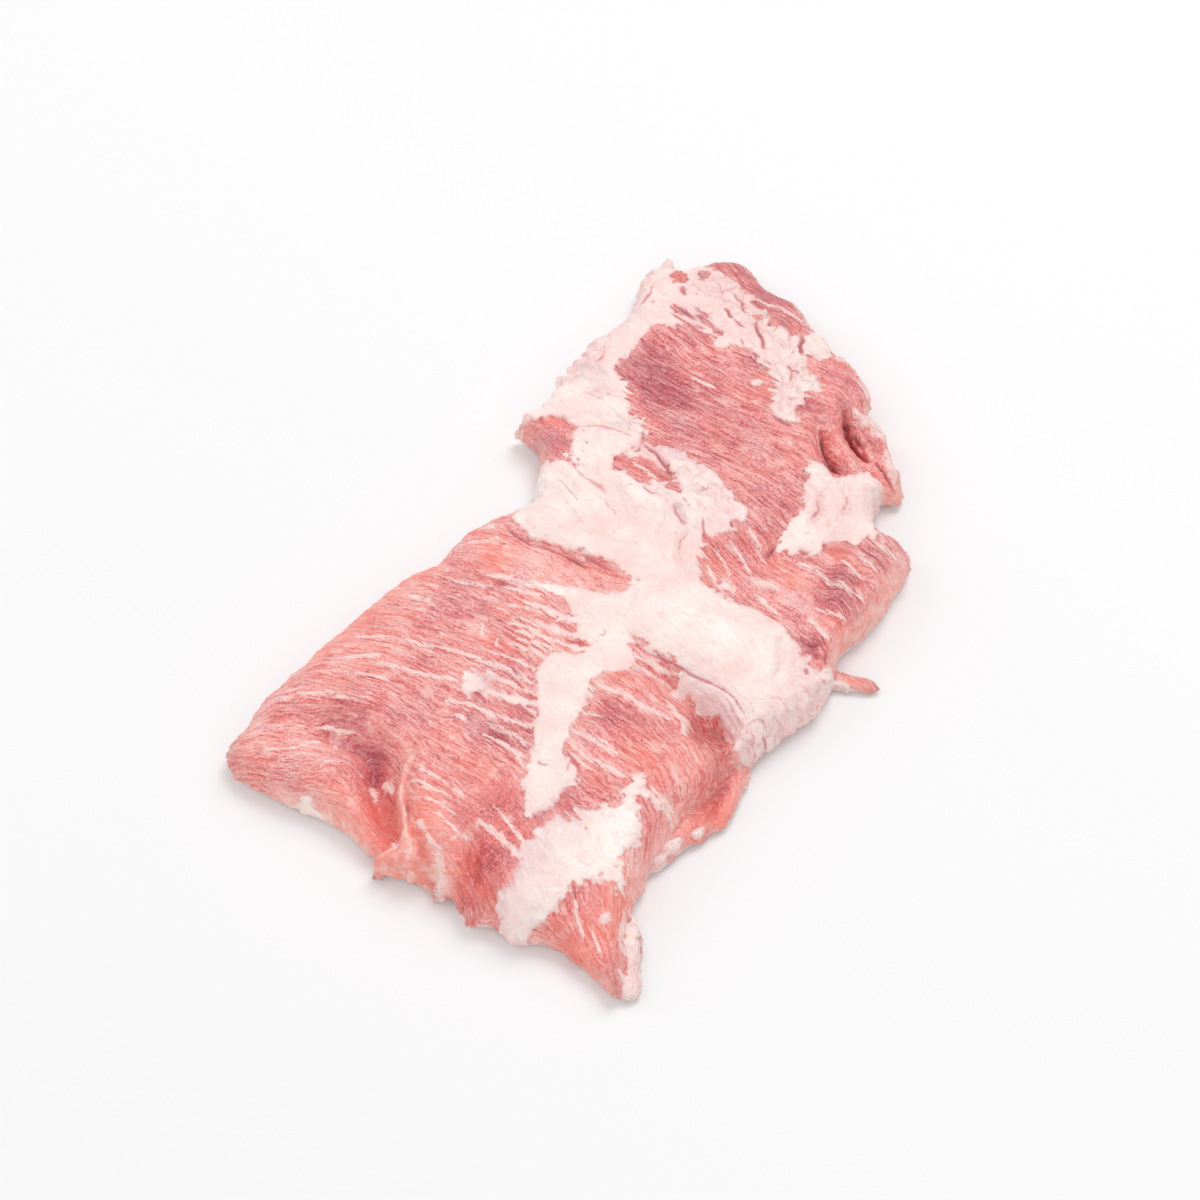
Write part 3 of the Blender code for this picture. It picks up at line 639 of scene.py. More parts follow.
DARK_LINES = [              # depth, half width and path
    # narrow end
    (0.7, 0.35, [(-5, 141), (-2.5, 138.5), (-0.5, 137.5), (0, 134.5), (1.5, 132), (2.5, 131)]),
    (0.9, 0.7, [(-5, 131.5), (-3.5, 130), (-2, 127.6), (-0.5, 126.5)]),
    (0.6, 0.35, [(-0.5, 126.5), (1, 125.5), (3, 124), (5.5, 122.5)]),
    (0.9, 0.6, [(7.2, 128.6), (7.5, 125.5), (8.5, 124), (10.5, 121.5), (12, 119), (13, 116.5),
                (14, 115)]),
    (1.0, 0.7, [(22.5, 126.5), (24, 124), (24, 121), (25, 118.5), (25.8, 116.5)]),
    (0.5, 0.3, [(25.5, 116.5), (28.5, 116.2)]),
    (0.6, 0.4, [(11, 131.5), (11.3, 128), (11, 126)]),
    (0.7, 0.5, [(23, 110), (25, 108.5), (28, 107.7)]),
    (0.5, 0.4, [(25, 108), (26, 105.5), (26.2, 102.5)]),
    (0.5, 0.35, [(4.5, 117.8), (6.5, 115.5), (7, 114)]),
    (0.6, 0.4, [(11, 113), (12.5, 110), (13.3, 107.5)]),
    (0.8, 0.45, [(25, 87.4), (27, 86), (31, 84.6), (33.4, 84)]),
    (0.8, 0.7, [(-21.5, 137), (-20, 134), (-18.5, 131.7)]),
    (0.4, 0.3, [(-20, 138.5), (-16, 137.5), (-15, 135.7)]),
    (0.4, 0.4, [(-15.6, 134.6), (-15, 133)]),
    (0.8, 0.6, [(33.5, 96), (36, 94.3), (38.5, 95)]),
    (0.5, 0.4, [(36, 92.5), (40, 92), (42, 92.8)]),
    # waist
    (0.8, 0.3, [(-8.7, 62.5), (-6, 61), (-3.5, 59.8), (-1, 57), (2, 54.3), (5.2, 50.5)]),
    (0.6, 0.35, [(-8.6, 60), (-8.4, 58.4), (-9.6, 56.6)]),
    (0.4, 0.3, [(-25, 56), (-24, 54.5)]),
    (0.6, 0.6, [(-42.5, 63), (-41.5, 61)]),
    (0.35, 0.8, [(-30, 48), (-26, 46), (-23, 43.5), (-20, 41.7), (-17, 40.5), (-14, 39),
                 (-12, 37), (-11, 36)]),
    (0.4, 0.4, [(-30, 61.4), (-26, 63), (-21, 64), (-16, 63.8), (-11, 62.8)]),
    (0.3, 0.3, [(-26.5, 56), (-24.5, 51.6), (-21, 49.4)]),
    (0.35, 0.35, [(-20, 70), (-16, 67.6), (-12, 66.6)]),
    (0.3, 0.35, [(-36, 79), (-30, 76), (-24, 74.5)]),
    (0.4, 0.35, [(-11, 34.5), (-9, 31.5), (-6, 30), (-5.5, 28)]),
    (0.5, 0.4, [(-2, 44), (-0.5, 42.2), (2, 41), (5, 40.8)]),
    (0.4, 0.3, [(8.5, 46), (11, 43), (14, 40), (18, 37.5)]),
    (0.4, 0.8, [(9, 40), (11, 36.5), (14, 33.5), (16, 31.5)]),
    (0.6, 0.5, [(19.5, 37), (20.5, 34), (22, 31), (23, 28)]),
    (1.0, 0.8, [(43, 34), (42.8, 31), (42, 28)]),
    # saddle
    (0.9, 0.6, [(-36.5, 16), (-33, 13.5), (-30, 11.5), (-27, 10.8), (-25, 9)]),
    (1.0, 0.6, [(-25, 10.6), (-20, 10.2), (-17, 9), (-14, 8.2), (-10.5, 7.6), (-8, 6.3),
                (-6, 5.4)]),
    (0.8, 0.5, [(-9, 10.3), (-7, 8.6), (-4.5, 8), (-1, 6.5), (3, 5.5)]),
    (0.4, 0.3, [(7, -17), (8.5, -18.5), (8, -19.5), (6.5, -20.5)]),
    (0.5, 0.3, [(17, -17.5), (20, -20), (27, -21.3), (33, -22.3), (40, -24.2), (47, -26),
                 (51, -28), (55, -32), (58, -35)]),
    (0.35, 0.3, [(46, -26.6), (50, -29.5), (53, -32.5), (56, -36.5)]),
    (0.25, 0.3, [(40, -26.5), (47, -29.5), (52, -33.5), (56, -38)]),
    (0.3, 0.3, [(44, -30.4), (49, -33), (53, -37), (56, -41.5)]),
    (1.0, 0.6, [(61.5, 2), (63.5, -0.5), (66.5, 0), (68.5, 2)]),
    (0.4, 0.3, [(-33, 56), (-29, 53), (-26, 48.6)]),
    (0.35, 0.3, [(-31, 40), (-25, 37), (-20, 32), (-17, 29)]),
    (0.3, 0.3, [(-12, 43), (-7, 39), (-3, 33.4)]),
    (0.4, 0.35, [(17.5, 30), (16, 26), (17.6, 19.6)]),
    (0.25, 0.3, [(-20, 24), (-13, 20), (-6, 17.6)]),
    (0.25, 0.3, [(24, -4), (30, -5.6), (35, -5)]),
    (0.25, 0.3, [(58, -7), (59.6, -13), (58.6, -19)]),
    (0.5, 0.35, [(49, 57), (51.4, 52), (50.4, 46.6)]),
    (0.4, 0.35, [(57.4, 61), (59, 56.4), (58.6, 51)]),
    (0.5, 0.35, [(-31, 136), (-30, 130), (-32, 125)]),
    (0.4, 0.35, [(-36, 104), (-34.6, 98), (-36, 93)]),
    (0.3, 0.3, [(60, -26), (63, -24), (66, -25.4)]),
    (0.3, 0.3, [(62, -30), (65, -29), (68, -31)]),
    (0.3, 0.3, [(65, -17), (68, -16), (71, -17.6)]),
    (0.35, 0.3, [(58, -34), (61, -32), (63, -34)]),
    (0.8, 0.5, [(64, -3.5), (66.8, -2.6), (69.6, -4)]),
    (0.7, 0.6, [(66.6, -9), (67.6, -11.5)]),
    (0.6, 0.4, [(55, 3.4), (58, 1.8), (60, -0.4)]),
    (0.6, 0.6, [(62, -34.6), (63, -35.4)]),
    # tongue and front fat
    (0.5, 0.4, [(7, -71), (9, -71.7), (11, -71.5)]),
    (0.4, 0.3, [(16, -68.5), (16, -70.5), (16.5, -72)]),
    (0.7, 0.5, [(13, -65), (15, -66.5), (18, -68), (20, -69.8)]),
    (0.4, 0.4, [(27, -87), (28.5, -88.5)]),
    (0.4, 0.8, [(36.5, -101.5), (37, -99.2)]),
    # lean of the broad end
    (0.7, 0.5, [(-45.5, -34.6), (-42, -33.6), (-39, -33.8), (-36.5, -35)]),
    (0.5, 0.4, [(-36.5, -33.2), (-33, -32.6), (-29, -31.8)]),
    (0.6, 0.6, [(-32, -12), (-29.5, -12.3), (-28.8, -12.8)]),
    (0.5, 0.5, [(26, -44.5), (28, -47), (29, -49)]),
    (0.5, 0.5, [(16, -45), (20, -47)]),
    (0.6, 0.8, [(-64, -51), (-65.5, -55)]),
    (0.6, 0.35, [(-22.5, -95), (-21, -98.5), (-18.5, -102.5)]),
    (0.5, 0.4, [(0, -104), (0.4, -108)]),
    (0.5, 0.4, [(3.4, -112), (4.6, -114.6), (7, -117)]),
    (0.3, 0.3, [(-18, -104.5), (-15.6, -105.2), (-13.2, -106.6), (-12.4, -108.6),
                (-13.6, -110.4)]),
    (0.3, 0.3, [(-17.8, -108.2), (-16.4, -106.9), (-14.8, -107.6), (-14.6, -109.2)]),
    (0.25, 0.3, [(-12.4, -105.4), (-10.4, -107.6), (-9.6, -110)]),
    # pocket and side
    (1.2, 0.4, [(40.3, 90), (41.3, 87), (42.6, 84), (44.1, 80.8), (46.5, 77.6), (50, 74.4),
                (52.5, 72.8)]),
    (1.2, 0.9, [(46.6, 76.5), (48.5, 75), (51, 73.6)]),
    (2.4, 0.6, [(45.4, 101), (46.6, 97.6), (47.8, 94.2), (49.6, 91.4), (52, 88.6), (55, 85.6),
                (58, 83.6)]),
    (1.0, 0.7, [(50, 94), (52.5, 90.6), (56, 87.4)]),
    (0.5, 0.35, [(51, 96.6), (54, 92.6), (57, 89.6), (60, 86.8), (62.6, 84)]),
    (1.1, 0.45, [(60, 83.4), (63, 80), (66, 76.8), (69.4, 75.4)]),
    (0.6, 0.5, [(33.6, 96), (36, 94.2), (38.6, 95), (41, 97)]),
]

crack_and_shade, crack_depth = np.zeros((2, len(plan)))
for depth, half_width, path in DARK_LINES:
    near, distance, place = near_path(plan, path, 4 * half_width + 2)
    width = (half_width + BLUR) * (1 + 0.25 * torn[near])
    strength = tapered(place, 4, 0.7) * bell(distance, width.clip(THINNEST_CRACK, None))
    darkness = min(depth / DARKEST_FROM, 1) ** 0.7
    crack_and_shade[near] = np.maximum(crack_and_shade[near], strength * darkness)
    crack_depth[near] = np.maximum(crack_depth[near], min(depth, depth ** 2) * strength)

# Wider folds of the whole cut: depth, half width and path; a negative depth is a ridge
FOLDS = [
    (4.4, 4.0, [(-50, -76), (-43, -77.5), (-38.6, -81), (-36.6, -86), (-33.6, -91),
                (-29.5, -97), (-26.5, -101.5), (-24, -106)]),
    (1.6, 1.0, [(-46, -76.4), (-41, -77.8), (-38.3, -81), (-37, -85), (-35.4, -89)]),
    (-2.8, 1.3, [(-27, -81), (-26.6, -86), (-25.8, -91), (-24, -95.5), (-21.4, -100),
                 (-19, -104), (-18, -109)]),
    (1.2, 0.7, [(-24, -91), (-22, -96), (-19.6, -100.4), (-16.6, -104.5)]),
    (-1.2, 3.5, [(-22, -70), (-24, -76), (-23, -84), (-20, -92)]),
    (-1.0, 2.0, [(-50, -96), (-48, -91), (-45, -88), (-41, -87)]),
    (-1.0, 6, [(-20, -78), (-17, -86), (-14, -94), (-10, -102)]),
    (-0.8, 2.2, [(-60, -90), (-50, -90), (-44, -87.5), (-40, -87)]),
    (0.8, 1.6, [(-53, -94), (-50, -92), (-47, -90.5), (-42, -91)]),
    (1.6, 2.0, [(-1, -97), (1, -103), (2, -108), (5, -114)]),
    (-0.6, 2.5, [(-60, -82), (-52, -80), (-46, -82), (-42, -86)]),
    (3.5, 6, [(84, 0), (84, -12), (76, -25), (66, -34), (60, -42)]),
    (1.5, 8, [(66, -4), (72, -8), (70, -20)]),
    (3.0, 2.2, [(56, -44), (55, -52), (55, -62), (52, -71)]),
    (1.2, 2.0, [(30, -25), (38, -29), (46, -33), (53, -39)]),
    (0.9, 2.0, [(61, 38), (62, 30), (63, 22), (63, 14)]),
    (-0.8, 2.5, [(65, 38), (67, 28), (67, 18)]),
    (0.8, 1.5, [(70, 40), (71, 30), (72, 20)]),
    (-0.6, 3, [(20, 46), (10, 52), (2, 58)]),
    (0.8, 2, [(-26, 47), (-18, 42), (-12, 37)]),
    (0.7, 1.5, [(14, 38), (18, 33), (22, 29)]),
    (-0.8, 4, [(50, 66), (56, 58), (60, 50)]),
    (1.0, 4, [(-45, 8), (-36, 6), (-26, 5)]),
    (3.6, 6, [(68, 62), (74, 60), (80, 54), (84, 48)]),
    (5.0, 5, [(68, 81), (70, 77), (71, 73)]),
    (-0.8, 2.2, [(43.6, 90), (46.2, 85), (49.8, 80.4), (54, 76.6)]),
    (-1.5, 2.0, [(50, 101), (54.5, 97), (59, 91.5), (62.5, 86)]),
    (-2.2, 0.9, [(-21, -107.5), (-22, -109.5), (-23.5, -111)]),
    (-1.2, 0.7, [(-24.5, -95), (-21, -99), (-18, -102), (-15, -105.4), (-13, -109)]),
    (2.6, 4.5, [(45, -35), (48, -38), (51, -42)]),
    (1.6, 1.6, [(44, -32.6), (48, -35), (52, -38.4), (55, -42)]),
    (-0.8, 3.0, [(-34, 72), (-24, 70), (-14, 66)]),
    (-0.9, 4.0, [(-24, 60), (-19, 54), (-17, 50)]),
    (0.7, 1.5, [(-31, 61), (-24, 63.4), (-16, 64), (-10, 62.6)]),
    (0.9, 1.2, [(10, 40), (12.5, 36), (16, 31.5)]),
    (0.5, 1.4, [(62, 27), (62.5, 22), (62.5, 15)]),
    (0.6, 1.2, [(60, 26), (66, 23), (74, 20.5)]),
    (1.6, 1.2, [(-42, 62), (-38, 57), (-32, 54.4), (-27, 49), (-22, 44.6)]),
    (-1.4, 1.4, [(-41, 59), (-35, 54.6), (-29, 51), (-24, 46)]),
    (1.1, 1.0, [(-34, 44), (-26, 40.6), (-18, 33), (-12, 26)]),
    (-1.2, 1.6, [(-36, 41), (-28, 37), (-20, 30), (-14, 22)]),
    (1.2, 1.1, [(-14, 45), (-8, 41), (-2, 34), (1, 27)]),
    (-1.1, 1.4, [(-16, 42), (-9, 37), (-4, 30)]),
    (1.1, 1.0, [(6, 41), (9, 36), (10, 30), (9, 24)]),
    (1.3, 1.2, [(19, 33), (16, 26), (18, 18), (24, 10)]),
    (0.9, 1.2, [(-22, 27), (-12, 20), (-2, 17), (8, 18)]),
    (0.9, 1.4, [(30, 4), (40, 0), (48, -8), (54, -16)]),
    (1.0, 1.2, [(58, 4), (58, -6), (60, -14), (58, -22)]),
    (1.1, 1.0, [(46, 60), (50, 56), (52, 50), (50, 44)]),
    (1.0, 1.0, [(56, 66), (58, 60), (60, 54), (58, 48)]),
    (1.0, 0.9, [(-34, 118), (-36, 108), (-34, 98), (-36, 90)]),
    (1.0, 1.0, [(-30, 140), (-28, 132), (-32, 124), (-30, 116)]),
]

# Steps, lower on the right-hand side of the path: depth, how far it fades out, and the path
STEPS = [
    (3.2, 6, [(-27.5, -82), (-27.3, -88), (-26.8, -92), (-25, -96), (-22.5, -100.5),
              (-20.5, -104.5), (-19.5, -108)]),
    (1.6, 5, [(6, -117), (2, -109), (0.5, -103), (-0.5, -97)]),
    (2.8, 2.6, [(-19, -99.6), (-15.4, -103.6), (-11, -107.4), (-8, -111), (-7, -115)]),
    (1.6, 3, [(56, -44), (51, -38), (44, -33), (37, -29.6), (30, -27)]),
    (1.0, 4, [(-6, 5.4), (-14, 8.2), (-25, 10.3), (-30, 11.5), (-36.5, 16)]),
    (2.4, 1.8, [(53, 72), (50, 74), (46.2, 77.4), (43.8, 80.6), (42.3, 84), (41, 87.2),
                (40, 90)]),
    (3.2, 3.6, [(60.5, 81.8), (57, 83.4), (54.2, 85.4), (51.2, 88.4), (48.8, 91.4), (47, 94.4),
              (45.9, 97.6), (45, 101)]),
    (2.0, 5, [(41.4, -47), (41.8, -42), (41.6, -36), (40.6, -32), (38.6, -29.6)]),
    (0.6, 5, [(-9, 62.4), (-5, 60.6), (-1, 57.6), (2.6, 54), (5.6, 50.4)]),
]

STEP_WIDTH = 0.35           # mm over which a step goes down

lowered = np.zeros(len(plan))
for depth, half_width, path in FOLDS:
    near, distance, place = near_path(plan, path, 3 * half_width)
    lowered[near] += depth * tapered(place, 4, 0.8) * bell(distance, half_width)
for depth, fade, path in STEPS:
    near, distance, place = near_path(plan, path, 3 * fade)
    low_side = rising(distance, STEP_WIDTH) * bell(distance.clip(0, None), fade)
    lowered[near] += depth * tapered(place, 4, 1) * low_side


# The colours of the flesh
# Lean is dark where it is thick and smooth and light where it is dry, thin or marbled; it turns
# towards purple in the folds and towards red at the thin edges. Its tone also carries painted
# shade, darker down the front valley, in the slits and in the hollows, and painted light, lighter
# on ridges, lips and rims. Fat is cream, and blushed or greyish where it is thin.

# x, y, two radii, turn, tone from dark to light, with painted shade and light in it, and blush from
# purple to red
FLESH_AND_SHADE_PATCHES = [
    # narrow end
    (-16, 92, 16, 9, -35, -0.75, -0.3), (-22, 105, 8, 5, -60, -0.6, -0.2),
    (-4, 78, 14, 7, -30, -0.45, -0.1), (14, 92, 14, 14, 0, -0.1, 0.1), (32, 78, 8, 8, 0, 0.0, 0.2),
    (42, 104, 8, 14, 0, 0.15, 0.2), (38, 60, 7, 12, 0, -0.2, -0.1),
    (28, 22, 12, 6, -50, -0.2, 0.2), (-37, 55, 7, 6, 0, 0.3, -1.0), (-40, 62, 8, 2, 10, -0.3, 0.9),
    (16, 131, 8, 5, -30, -0.45, 0.1), (3, 149, 16, 6, -30, -0.6, -0.7),
    (-24.5, 142, 2.5, 4, 0, -0.8, 0.5), (-20.5, 140, 1.5, 3, 0, -0.8, -0.6),
    (-18, 145, 2, 5, 15, -0.4, -0.7), (-25.5, 153, 5, 4, 0, -1.8, 0.3),
    (-12, 122, 10, 4, -28, -0.1, -1.0), (26, 22, 4, 10, 35, -0.3, 0.3),
    # The pocket's patches on the next lines are partly painted: darker in its slits as painted
    # shade, lighter on their lips as painted light
    (-49, 70, 5, 10, 0, -0.1, 0.9), (-29, 107, 4, 3, 0, 0.2, 0.6), (52, 85, 11, 4, -50, 0.3, 0.3),
    (50, 91.5, 9, 2.6, -55, -0.7, 0.0), (55, 88, 7, 3, -50, 0.3, -0.1),
    (61, 79, 9, 5, -45, 0.6, 0.3), (60.5, 76.5, 2, 2, 0, -0.9, 0.4),
    (47, 77.5, 5, 1.6, -50, -1.0, 0.2), (44, 30, 3, 4, 0, -0.5, 0.5),
    (30, 34, 4, 2.5, -45, -0.5, 0.3), (36, 29, 8, 2, -50, -0.4, 0.3),
    (28, 24, 6, 2, -50, -0.4, 0.2),
    # side lobe
    (67, 18, 8, 4, -20, -0.9, -0.6), (66, 26, 7, 4, -25, -0.7, -0.4),
    (62, 35, 6, 5, -30, 0.1, 0.9), (73, 37, 7, 5, -20, 0.3, -0.6), (74, 46, 8, 4, 0, 0.35, -0.1),
    (54, 23, 6, 4, 0, 0.3, 0.9), (57, 13, 7, 4, -10, 1.0, -0.4), (46, 18, 6, 2, 0, 0.5, 0),
    (80, 28, 3, 22, 0, 0.5, 0.2), (75, 12, 4, 8, -20, 0.4, 0.1), (68, 9, 5, 3, 0, -0.1, 0.6),
    (65, 0, 5, 3, -20, -1.0, -0.7), (80, 0, 8, 5, 0, 0.5, 0.5), (67, -10, 2, 3, 0, -0.5, 0.8),
    # broad end, left
    # The first patch is partly painted light, lightening the left margin as if lit from the left
    (-66, -34, 26, 9, 70, 0.35, 0.8), (-28, -30, 14, 8, 0, 0.15, 0),
    (-58, -12, 14, 8, 60, 0.3, 0.75), (-44, 16, 12, 7, 50, 0.2, 0.4),
    (-40, -22, 13, 8, 0, -0.1, -0.35), (-12, -42, 10, 2.5, -14, -0.35, -0.6),
    (-12, -55, 9, 3, -5, -0.3, -0.5), (-10, -64, 16, 5, -10, -0.2, -0.8),
    # Painted shade darkens the front valley on these lines, and painted light lightens the ridge of
    # the strand beside it
    (-50, -70, 16, 5, 0, -0.1, -0.3), (-45, -77, 8, 2.6, -6, -0.6, -0.7),
    (-39, -80.5, 5, 3.4, -50, -0.5, -0.6), (-36.5, -85, 5, 3, -65, -0.6, -0.3),
    (-32, -93, 10, 4, -58, -0.9, 0.3), (-26.5, -99, 8, 3.4, -58, -0.8, 0.6),
    (-22, -104, 4, 3, -50, -0.4, 0.9), (-40, -99, 9, 4, -30, 0.1, 0.4),
    (-60, -97, 20, 4, -4, 0.1, 0.1), (-36, -103, 12, 4, -25, 0.3, 0.5),
    (-25.5, -91, 8, 0.9, -68, 0.9, 0.6), (-20, -102, 6, 0.9, -62, 0.9, 0.7),
    (-60, -84, 12, 7, 15, 0.35, -0.1), (-52, -87, 6, 4, 30, 0.2, -0.3),
    (-20, -70, 6, 8, 20, 0.2, 0.3), (-18, -110, 7, 3, 0, 0.5, 1.0),
    (-14, -106.8, 5, 2.6, -45, -0.7, 0.8), (-33, -1, 5, 3, -30, 0, 1.0),
    (-18, 2, 22, 6, -6, 0.8, 0.25), (-60, -50, 14, 10, 10, 0.2, 0.3),
    (-20, -32, 8, 3, 0, -0.1, 0.5),
    # front
    (-15, -90, 8, 12, 30, 0.1, 0.3), (-10, -104, 12, 4, -20, 0.4, 0.8),
    (2, -108, 2.5, 9, -12, -0.7, 0.4), (8, -116, 6, 4, 0, -0.6, 0.7),
    (1, -88, 9, 9, -30, -0.4, -0.1), (9, -107, 6, 9, 0, -0.65, -0.1), (4, -113, 4, 6, 0, -0.7, 0),
    (-2, 50.5, 9, 4, -20, -0.7, 0.3), (7, -92, 8, 5, -40, -0.5, 0.0),
    # The first patch here is painted light on the flap at the front rim
    (-6, -113, 6, 2.5, -20, 1.2, 0.6), (-3, -76, 8, 8, -50, 0.0, 0.3),
    (-12, -82, 14, 6, -10, -0.15, 0.1),
    # broad end, right
    (28, -50, 10, 2, -10, -0.5, 0.2), (32, -62, 10, 2, -15, -0.4, 0.2),
    (24, -56, 8, 1.6, -12, -0.3, 0.1), (22, -45, 10, 3, -5, -0.6, 0.1),
    # Painted shade in the hollow under the saddle on this line, and in the groove by the side wall
    # on the next
    (44, -38, 4, 8, 0, -1.0, 0.3), (48, -41, 7, 4, -50, -1.0, 0.3), (49, -45, 6, 5, 0, -0.3, 0.3),
    (22, -33, 8, 3, 0, -0.2, 0.5), (45, -55, 8, 6, 0, 0.1, 0.2), (55, -60, 3.2, 13, 0, -1.2, 0.2),
    (60.5, -55, 2.5, 12, 0, 0.6, 0.8), (26, -74, 6, 5, 0, -0.4, -0.2),
    (20, -82, 4, 5, 0, -0.4, -0.2), (14, -88, 3, 3, 0, -0.5, 0), (34, -60, 12, 6, -10, 0.1, 0.5),
    (22, -62, 9, 5, 0, -0.05, -0.2), (43, -92, 3, 8, 0, 0.3, -0.2),
    (40, -116, 13, 9, -50, 0.0, 0.5), (34, -120, 8, 2.5, -35, -0.6, 0.5),
    (44, -108, 5, 8, 10, -0.1, 1.0), (52, -70, 4, 6, -20, 0.2, 1.0),
]

# Greyish, see-through places of the fat: x, y, two radii, turn and strength
FAT_FILM = [
    (26, 37, 5, 6, 0, 0.5), (-36, 89, 7, 5, 0, 0.9), (-28, 79.5, 6, 3, -10, 0.8),
    (-15, 68, 6, 2, -20, 0.8), (3, 61, 7, 1.8, -12, 1.0), (19, -98, 5, 14, 0, 0.8),
    (24, -84, 5, 4, 0, 0.6), (47, -31, 12, 3, -28, 0.6), (14.5, -112, 3, 8, 0, 0.9),
    (-40, 20, 9, 4, 60, 0.7), (3, 42.5, 6, 1.2, -10, 0.8), (13, 36, 6, 1.8, -55, 0.9),
    (-40, 100, 4, 12, 15, 0.6), (-35, 124, 4, 12, 10, 0.5), (50, 66, 10, 3, -60, 0.2),
    (-29, 24, 4, 3, 0, 0.5), (-15, -45, 8, 5, 0, 0.9), (6, -31, 6, 6, 0, 0.3),
    (12, 35, 6, 3, -45, 0.5), (26, 14, 3, 8, 20, 0.5), (2, -3, 8, 3, 0, 0.3),
]

# Where the fat is pink, or whiter if negative: x, y, two radii, turn and strength
PINK_FAT = [
    (10, 124, 24, 14, -40, 0.35), (28, 104, 9, 14, 0, 0.2), (-8, 140, 14, 11, 0, 0.7),
    (-18, 128, 8, 8, 0, 0.4), (8, 60, 10, 4, -20, 0.3), (54, 52, 12, 14, 0, 0.55),
    (68, -20, 9, 20, 0, 0.45), (66, -4, 5, 5, 0, 0.6), (48, -34, 12, 3, -25, 0.3),
    (18, -28, 6, 7, 0, 0.4), (-4, 58, 6, 4, -30, 0.8), (-45, 108, 4, 16, 15, 1.6),
    (-48, 88, 4, 10, 0, 1.4), (-41, 128, 6, 12, 25, 1.6), (-38, 150, 5, 12, 0, 0.8),
    (-10, 14, 16, 5, -10, 0.15), (12, 12, 14, 14, 0, 0.1), (-6, 34, 16, 6, -20, 0.35),
    (4, -14, 6, 8, 0, 0.1), (42, -8, 18, 9, -20, -0.5), (35, -90, 6, 16, 0, -1.0),
    (-24, 72, 12, 5, -20, -0.6), (-24, 36, 12, 6, -30, -0.8), (20, -100, 4, 14, 0, -0.3),
    (48, 40, 5, 8, 20, -0.6), (-30, 130, 6, 14, 0, -0.2),
]

# Rims with a smooth skin in place of bare fibres: x, y, two radii, turn and strength
SMOOTH_RIMS = [
    (80, 32, 7, 28, 0, 1.0), (74, 8, 7, 10, 0, 1.0), (-66, -30, 12, 46, -14, 0.9),
    (-52, 8, 9, 24, -14, 0.7), (46, 120, 9, 14, 40, 0.9), (62, 92, 9, 24, 35, 1.0),
    (70, 78, 8, 8, 0, 1.0), (59, -56, 6, 20, 0, 1.0), (48, -92, 4, 26, 0, 0.8),
    (6, 156, 24, 7, -30, 0.8), (-50, 70, 5, 14, 0, 1.0), (-35, 50, 6, 8, 40, 0.7),
    (-34, -105, 14, 4, -25, 0.6), (-14, -111, 12, 5, -5, 1.0), (48, -124, 8, 6, -50, 0.6),
]

BROAD_END_LIGHTER = 0.14
BROAD_END_REDDER = 0.15
NARROW_END_DARKER = 0.04
NARROW_END_PLAINER = 0.72   # share of its marbling that the narrow end is without
END_CHANGE = (20, 12)       # y at which one end turns into the other, and over what length

tone_and_shade, blush = patches(FLESH_AND_SHADE_PATCHES)
film, = patches(FAT_FILM)
narrow_end = rising(plan[:, 1] - END_CHANGE[0], END_CHANGE[1])
tone_and_shade += BROAD_END_LIGHTER * (1 - narrow_end) - NARROW_END_DARKER * narrow_end
tone_and_shade += 0.3 * lumps(9, 41)
blush += BROAD_END_REDDER * (1 - narrow_end) + 0.5 * lumps(13, 42) + 0.3 * lumps(5, 43)
fat_blush, = patches(PINK_FAT)
smooth_rim, = patches(SMOOTH_RIMS)
marbled = 1 - NARROW_END_PLAINER * narrow_end


# The relief
# Fat stands up from the lean with a torn lip and is crumbly in places, the lean is ribbed along
# its fibres, and slits, cracks and folds go down between them. Thin edges are frayed.

BODY_HEIGHT = 13.5          # mm, as are the heights, lengths and widths below
MOST_RAISED = 0.3           # share of the height that ridges may add,
MOST_LOWERED = 0.75         # and share that folds may take away
EDGE_SLOPE = 0.25           # width over which lean turns into fat,
LIP_SLOPE = 0.3             # and over which the lip of a sheet rises
LIP_HEIGHT = 0.6
LIP_WIDTH = 1.6
TROUGH = 0.25
TROUGH_WIDTH = 1.0
RIB_HEIGHT = 0.36
FINE_RIB_HEIGHT = 0.18
FAT_LUMPS = 0.25
NARROW_END_LUMPS = 0.45
FLAKE_LENGTH, FLAKE_WIDTH = 8.0, 4.6
FLAKE_TURN = radians(-57)
CRUMB_RISE = 0.8
FLESH_CRUMB_RISE = 1.3
DIMPLE_DEPTH = 0.5
KNOB_HEIGHT = 0.6
STREAK_HEIGHT = 0.15
RIM_LUMPS = 3.0
SOFT_LUMPS = 0.45
FRAY = 0.9
# painted light: share by which the sides are made lighter in tone, standing in for the fill light
# on them
SIDES_PAINTED_LIGHTER = 0.3

CRUMBLY_PLACES = [          # x, y, two radii, turn and strength
    (14, 126, 24, 12, -45, 1.0), (28, 100, 14, 9, -70, 1.0), (-6, 142, 14, 9, -20, 0.8),
    (-34, 140, 8, 16, 0, 0.4), (-40, 104, 8, 22, 0, 0.6), (-14, 68, 8, 4, -30, 0.8),
    (16, 50, 14, 7, -35, 0.8), (54, 56, 14, 18, 0, 0.3), (76, -14, 10, 18, 0, 0.9),
    (62, -36, 10, 8, 40, 0.9), (26, -95, 14, 26, 0, 0.15), (50, -76, 6, 12, 0, 0.7),
    (56, -58, 4, 14, 0, 0.7), (54, -116, 5, 16, 20, 0.8), (20, 10, 30, 20, 0, 0.15),
    (0, 50, 14, 8, -20, 0.4), (56, 84, 12, 6, -50, 0.4),
]

